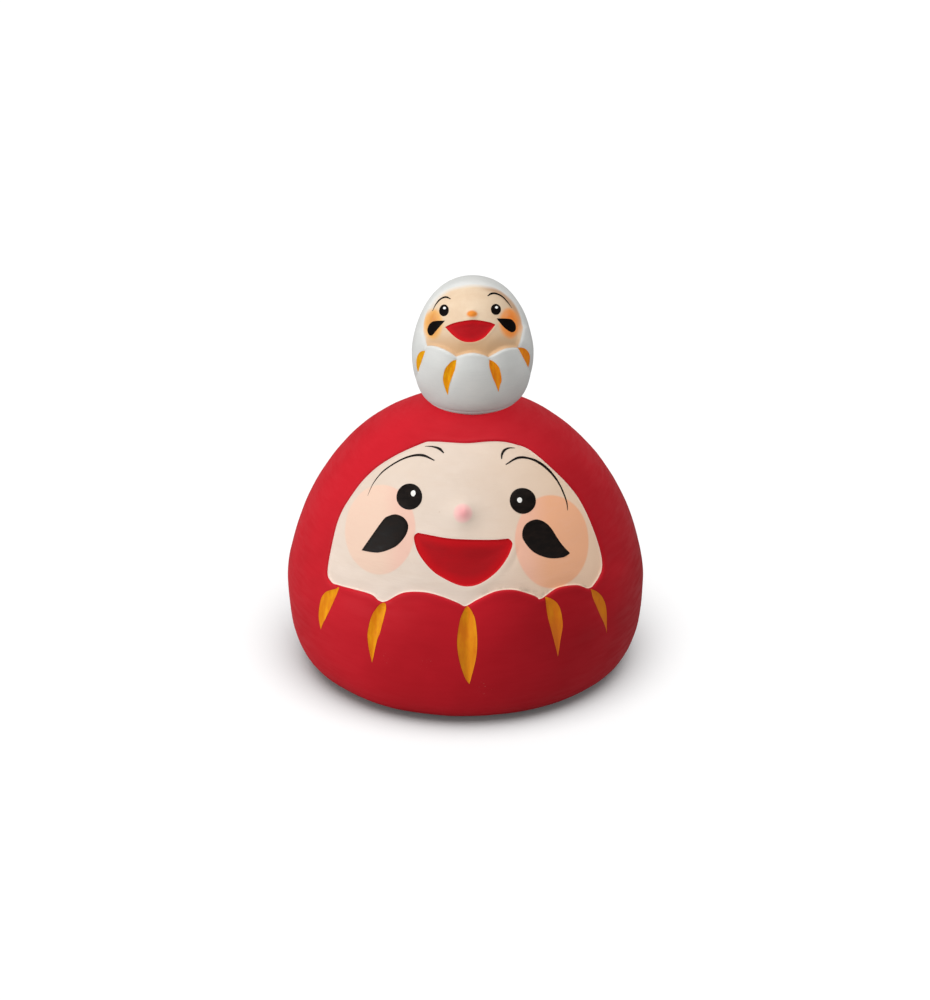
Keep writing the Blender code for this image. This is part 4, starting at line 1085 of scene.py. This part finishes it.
# How much painted shade each gold stroke takes, from left to right: orange on the shaded right, and below 0
# yellower painted light on the lit left.
LARGE_GOLD_SHADING = (0.0, 0.0, 0.3, 0.85, 1.0)
SMALL_GOLD_SHADING = (-1.3, -0.7, 0.3, 0.8)
# Cheeks: colour by the mouth, outer colour and the places across between them; and tint, core.
BLUSHES = {"left": ((230, 188, 170), (230, 198, 177), (-0.026, -0.036)),
           # the right cheek's warmer, oranger colours are painted warm shade, as on the face's right side
           "right": ((244, 188, 162), (246, 182, 142), (0.024, 0.036))}
APRICOTS = {"left": ((228, 172, 100), (216, 142, 66)), "right": ((240, 154, 82), (240, 132, 46))}


def chart_lines(form, drawings, rows):
    """Crease lines along each drawing and beside it, on the unrolled surface, clear of the seams."""
    lines = []
    for key, loop in drawings.items():
        offsets, step = rows[kind(key)]
        for amount in offsets:
            for line in offset_lines(loop, amount, step):
                angle, arc = form.from_chart(line)
                lines += stretches(form.flat(angle, arc), np.abs(angle) < LINES_END)
    return lines


def ring_lines(form, centre, radii, step):
    lines = []
    for radius in radii:
        loop = even(ellipse(centre, radius, radius), step)
        lines.append(form.flat(*form.from_chart(np.vstack((loop, loop[:1])))))
    return lines


def seat_lines(form, front, seat):
    x, _, radius = seat
    lines = []
    for ring in (radius + 0.2, radius - 0.35, radius - 0.9):
        turn = np.linspace(0.03, math.pi - 0.03, 60)
        px, py = x + ring * np.cos(turn), ring * np.sin(turn)
        angle = np.arctan2(px, py) * (1 if front else -1)
        lines.append(form.flat(angle, arc_at_radius(form, np.hypot(px, py))))
    return lines


def foot_lines(form):
    """Level crease lines along the turned line above the foot."""
    middle = np.interp(FOOT_LINE, form.heights[1:], form.arcs[1:])
    angle = np.linspace(-HALF, HALF, 121)[1:-1]
    return [form.flat(angle, np.full(len(angle), middle + step)) for step in (-0.7, -0.35, 0.0, 0.35, 0.7)]


def choose(flat, faces, form, loops):
    """For each loop, the triangles inside it and the depth of every point."""
    middles = np.array([flat[list(face)].mean(0) for face in faces])
    middle_chart = form.chart(*form.unflat(middles))
    chart = form.chart(*form.unflat(flat))
    inside, depths = {}, {}
    for key, loop in loops.items():
        inside[key] = depth(middle_chart, loop, 1.0) > 0
        depths[key] = depth(chart, loop)
    return inside, depths, chart


class Doll:
    """One doll: its half shells, and the coats of paint on the front one."""

    def __init__(self, size, body, form, drawings, layers, ink_size):
        self.size, self.body, self.form = size, body, form
        self.drawings, self.layers, self.ink_size = drawings, layers, ink_size

    def shells(self, opening, spacing, wall, lines, back_lines, window, paint, slot, bore_x=None,
               seat=None):
        """Both half shells; the coats go on triangles of the front one."""
        rest = (spacing, wall, paint, self.body, slot, seat)
        sheet = half_sheet(self.form, opening, True, spacing, lines, bore_x, window)
        self.flat, self.faces = half_shell(self.size, "front", self.form, sheet, *rest)
        sheet = half_sheet(self.form, opening, False, spacing, back_lines, bore_x)
        half_shell(self.size, "back", self.form, sheet, *rest)
        self.inside, self.depths, self.chart = choose(self.flat, self.faces, self.form, self.drawings)
        self.skin = self.inside["face"] & ~self.inside["mouth"]

    def coat(self, key, material, slot, region=None, name=None, node=None, **attributes):
        """Paint over the drawing called key, or over another region of triangles."""
        chosen = np.flatnonzero(self.inside[key] if region is None else region)
        film(f"{self.size}_{name or key}", self.form, self.flat, self.faces, chosen,
             self.layers[kind(key)], self.depths[key], material, self.body,
             f"{self.size}_{node or name or key}", slot, attributes)

    def inner(self, key, material, slot, **attributes):
        """The mouth or the nose."""
        self.coat(key, material, slot, name=key + "_paint", node=key, rim=self.depths[key], **attributes)

    def sides(self, cheek_slot, cheek_paint, **attributes):
        """Cheek, eye, glint and whisker on each side."""
        for side in ("left", "right"):
            label, cheek = f"{self.size}_{side}", "cheek_" + side
            self.coat(cheek, cheek_paint(side), cheek_slot, self.inside[cheek] & self.skin,
                      rim=self.depths[cheek], **attributes)
            self.coat("eye_" + side, ink_paint(label + "_eye_ink", self.ink_size), "black_ink")
            self.coat("glint_" + side, glint_paint(label + "_glint"), "glint_paint",
                      node="eye_glint_" + side)
            self.coat("whisker_" + side, ink_paint(label + "_whisker_ink", self.ink_size), "black_ink")

    def lines(self, painted_shading, low):
        """The brows, then the gold strokes; painted_shading says how orange each stroke is painted for
        shade.
        """
        for key in self.drawings:
            if kind(key) == "brow":
                self.coat(key, ink_paint(f"{self.size}_{key}_ink", self.ink_size), "black_ink")
        for number, share in enumerate(painted_shading, start=1):
            paint = gold_paint(f"{self.size}_gold_{number}", self.ink_size, share)
            self.coat(f"stroke_{number}", paint, "gold_paint", name=f"gold_stroke_{number}", low=low)


def build_large():
    form, seat = large_form, (SEAT_X, SEAT_Z - SEAT_SINK, SEAT_RADIUS)
    lines = chart_lines(form, LARGE_DRAWINGS, LARGE_LINES)
    lines += ring_lines(form, LARGE_NOSE_AT, LARGE_NOSE_RINGS, 0.5) + seat_lines(form, True, seat)
    doll = Doll("large", LARGE, form, LARGE_DRAWINGS, LARGE_LAYERS, 1.0)
    doll.shells(LARGE_OPENING, LARGE_SPACING, LARGE_WALL, lines, seat_lines(form, False, seat),
                LARGE_WINDOW, red_paint("red_body_paint"), "red_paint", SEAT_X, seat)
    u, v = doll.chart.T
    face = doll.depths["face"]
    # where the face coat takes grey-brown blotches: just inside its lower edge, on the right
    grime = ease(-v, -34.0, -29.0) * ease(-face, -3.2, -0.5) * ease(u, 0.0, 14.0)
    doll.coat("face", cream_paint("large_cream"), "cream_paint", doll.skin, "face_paint", "face_coat",
              rim=np.minimum(face, -doll.depths["mouth"]), grime=grime)
    doll.inner("mouth", mouth_paint("large_mouth_red"), "mouth_paint")
    doll.inner("nose", nose_paint("large_nose_pink"), "pink_paint")
    doll.sides("blush_paint", lambda side: blush_paint(f"large_{side}_blush", *BLUSHES[side]))
    doll.lines(LARGE_GOLD_SHADING, 1 - ease(v, 4.0, 24.0))


def build_small():
    form, white = small_form, white_paint("white_body_paint")
    lines = chart_lines(form, SMALL_DRAWINGS, SMALL_LINES)
    lines += ring_lines(form, SMALL_NOSE_AT, SMALL_NOSE_RINGS, 0.3) + foot_lines(form)
    doll = Doll("small", SMALL, form, SMALL_DRAWINGS, SMALL_LAYERS, 0.5)
    doll.shells(SMALL_OPENING, SMALL_SPACING, SMALL_WALL, lines, foot_lines(form), SMALL_WINDOW, white,
                "white_paint")
    u, v = doll.chart.T
    face = doll.depths["face"]
    width = 0.2 + (1.1 - 0.7 * ease(u, 4, 12)) * ease(v, 26, 36) + 1.1 * ease(-u, 8, 20) * ease(v, 24, 30)
    shade = ease(u, 1.0, 9.0) * ease(v, 27.0, 34.0) * (1 - ease(face, 0.4, 3.2))
    skin = {"edge": 1 - ease(face, -0.2, width), "low": 1 - ease(v, 20.0, 33.0), "shade": shade}
    doll.coat("face", small_skin("small_skin"), "cream_paint", doll.skin, "face_paint", "face_coat", **skin)
    doll.inner("mouth", mouth_paint("small_mouth_red", 0.5), "mouth_paint")
    doll.inner("nose", small_nose("small_nose_ochre"), "ochre_paint", **skin)
    doll.sides("apricot_paint", lambda side: small_cheek(f"small_{side}_apricot", *APRICOTS[side]), **skin)
    doll.lines(SMALL_GOLD_SHADING, 1 - ease(v, 4.0, 18.0))
    foot = rounded([(BORE, SEAT_Z), (FOOT_RADIUS, SEAT_Z), (FOOT_RADIUS, SEAT_Z + FOOT_HEIGHT),
                    (BORE, SEAT_Z + FOOT_HEIGHT)], 0.35)
    lathe("small_foot_ring", foot, SEAT_X, 96, white, SMALL, "small_foot_disc", "white_paint")


def build_dowel():
    low, high, r = dowel_low[2], dowel_high[2], DOWEL_RADIUS
    shape = rounded([(0, low), (r, low), (r, high), (0, high)], 0.7)
    lathe("dowel_pin", shape, SEAT_X, 48, wood("dowel_wood"), DOWEL, "locating_dowel", "bare_wood")


def finish_hidden():
    """The pieces inside keep their CAD shapes and take their own finishes."""
    finishes = {"large_base_disc": paper, "large_clay_weight": clay, "crown_block": wood,
                "large_seam_strip_left": paper, "large_seam_strip_right": paper,
                "small_clay_weight": clay, "small_seam_strip_left": paper,
                "small_seam_strip_right": paper}
    for node, make in finishes.items():
        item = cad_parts[node]
        material = make(node + "_finish")
        item.data.materials.clear()
        item.data.materials.append(material)


# ------------------------------------------------------------------------- stage
def aimed(item, target):
    way = Vector(target) - item.location
    item.rotation_mode = "QUATERNION"
    item.rotation_quaternion = way.to_track_quat("-Z", "Y")


def soft_light(name, place, aim_z, size, power, only):
    """A round soft light, aimed at a height on the axis, that falls on one group of pieces."""
    light = bpy.data.lights.new(name, "AREA")
    light.shape = "DISK"
    light.size = size
    light.energy = power
    item = bpy.data.objects.new(name, light)
    bpy.context.collection.objects.link(item)
    item.location = place
    aimed(item, (0, 0, aim_z))
    item.light_linking.receiver_collection = only
    item.light_linking.blocker_collection = only


def sun_over_floor(ground):
    """An even overhead light for the card alone, so that it stays white out to the horizon."""
    light = bpy.data.lights.new("overhead", "SUN")
    light.energy = 2.5
    light.angle = 0.95
    item = bpy.data.objects.new("overhead", light)
    item.rotation_euler = (math.radians(16), 0, 0)
    bpy.context.collection.objects.link(item)
    item.light_linking.receiver_collection = ground


def floor_paint():
    """White card: it looks evenly lit, and throws only a little light back at the object."""
    paint = Paint("studio_floor", 0.9, 0.0)
    patch = paint.noise(3.0, 2.0, 0.5)
    card = paint.mix(patch, (0.93, 0.93, 0.93, 1), (0.95, 0.95, 0.95, 1))
    seen = paint.node("ShaderNodeLightPath").outputs["Is Camera Ray"]
    colour = paint.mix(seen, (0.35, 0.35, 0.35, 1), card)
    paint.shader.inputs["Emission Color"].default_value = (1, 1, 1, 1)
    glow = paint.math("MULTIPLY", seen, 0.04)
    paint.tree.links.new(glow, paint.shader.inputs["Emission Strength"])
    return paint.finish(colour)


FACE_KINDS = ("face", "mouth", "nose", "cheek", "eye", "glint", "whisker", "brow")
# Soft lights: name, place, height aimed at, width, power and the group they fall on.
LIGHTS = [("large_key", (-1.2, -0.62, 0.44), 0.07, 0.9, 11.3, LARGE),
          ("large_top", (-0.02, 0.0, 1.5), 0.05, 1.2, 13.4, LARGE),
          ("large_low", (-0.9, -1.1, 0.03), 0.05, 0.9, 1.0, LARGE),
          ("large_fill", (0.8, -1.0, 0.3), 0.07, 0.9, 0.6, LARGE),
          ("face_fill", (1.0, -0.9, 0.2), 0.07, 0.9, 2.4, "face"),
          ("small_key", (-1.15, -0.6, 0.62), 0.12, 0.9, 13.2, SMALL),
          ("small_top", (-0.05, -0.1, 1.5), 0.12, 1.2, 9.2, SMALL),
          ("small_fill", (0.9, -0.9, 0.9), 0.12, 0.9, 5.6, SMALL)]


def build_floor():
    size = 6.0
    mesh = bpy.data.meshes.new("studio_floor")
    corners = [(-size, -size, 0), (size, -size, 0), (size, size, 0), (-size, size, 0)]
    mesh.from_pydata(corners, [], [(0, 1, 2, 3)])
    mesh.materials.append(floor_paint())
    floor = bpy.data.objects.new("studio_floor", mesh)
    bpy.context.collection.objects.link(floor)
    floor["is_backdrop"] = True
    return floor


def build_world():
    """Even white surroundings: full white to the camera, softer as a light."""
    world = bpy.data.worlds.new("studio")
    world.use_nodes = True
    tree = world.node_tree
    back = tree.nodes["Background"]
    back.inputs["Color"].default_value = (1, 1, 1, 1)
    back.inputs["Strength"].default_value = 0.33
    seen = tree.nodes.new("ShaderNodeBackground")
    seen.inputs["Color"].default_value = (1, 1, 1, 1)
    path = tree.nodes.new("ShaderNodeLightPath")
    mixed = tree.nodes.new("ShaderNodeMixShader")
    tree.links.new(path.outputs["Is Camera Ray"], mixed.inputs[0])
    tree.links.new(back.outputs[0], mixed.inputs[1])
    tree.links.new(seen.outputs[0], mixed.inputs[2])
    tree.links.new(mixed.outputs[0], tree.nodes["World Output"].inputs["Surface"])
    bpy.context.scene.world = world


def build_stage():
    """The floor, the surroundings and the lights, each doll with lights of its own."""
    floor = build_floor()
    build_world()
    groups = {name: bpy.data.collections.new("lit_" + name) for name in ("floor", "face", LARGE, SMALL)}
    groups["floor"].objects.link(floor)
    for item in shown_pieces():
        groups[SMALL if item.name.startswith("small") else LARGE].objects.link(item)
        if item.name.startswith(tuple("large_" + kind for kind in FACE_KINDS)):
            groups["face"].objects.link(item)
    sun_over_floor(groups["floor"])
    for *light, group in LIGHTS:
        soft_light(*light, groups[group])


def build_camera():
    """Straight in front, looking down at the angle that the face drawings lean back."""
    distance, aim = 1.040, Vector((-0.00025, 0.0, 0.0735))
    seen_height = 0.44           # metres of the scene at the aim over the frame's longer side
    camera = bpy.data.cameras.new("camera")
    camera.sensor_width = 36.0
    camera.lens = camera.sensor_width * distance / seen_height
    camera.clip_start, camera.clip_end = 0.05, 30.0
    item = bpy.data.objects.new("camera", camera)
    bpy.context.collection.objects.link(item)
    item.location = aim + distance * Vector((0, -math.cos(TILT), math.sin(TILT)))
    aimed(item, aim)
    bpy.context.scene.camera = item


build_large()
build_small()
build_dowel()
finish_hidden()
build_stage()
build_camera()
bpy.context.scene.view_settings.view_transform = "Standard"
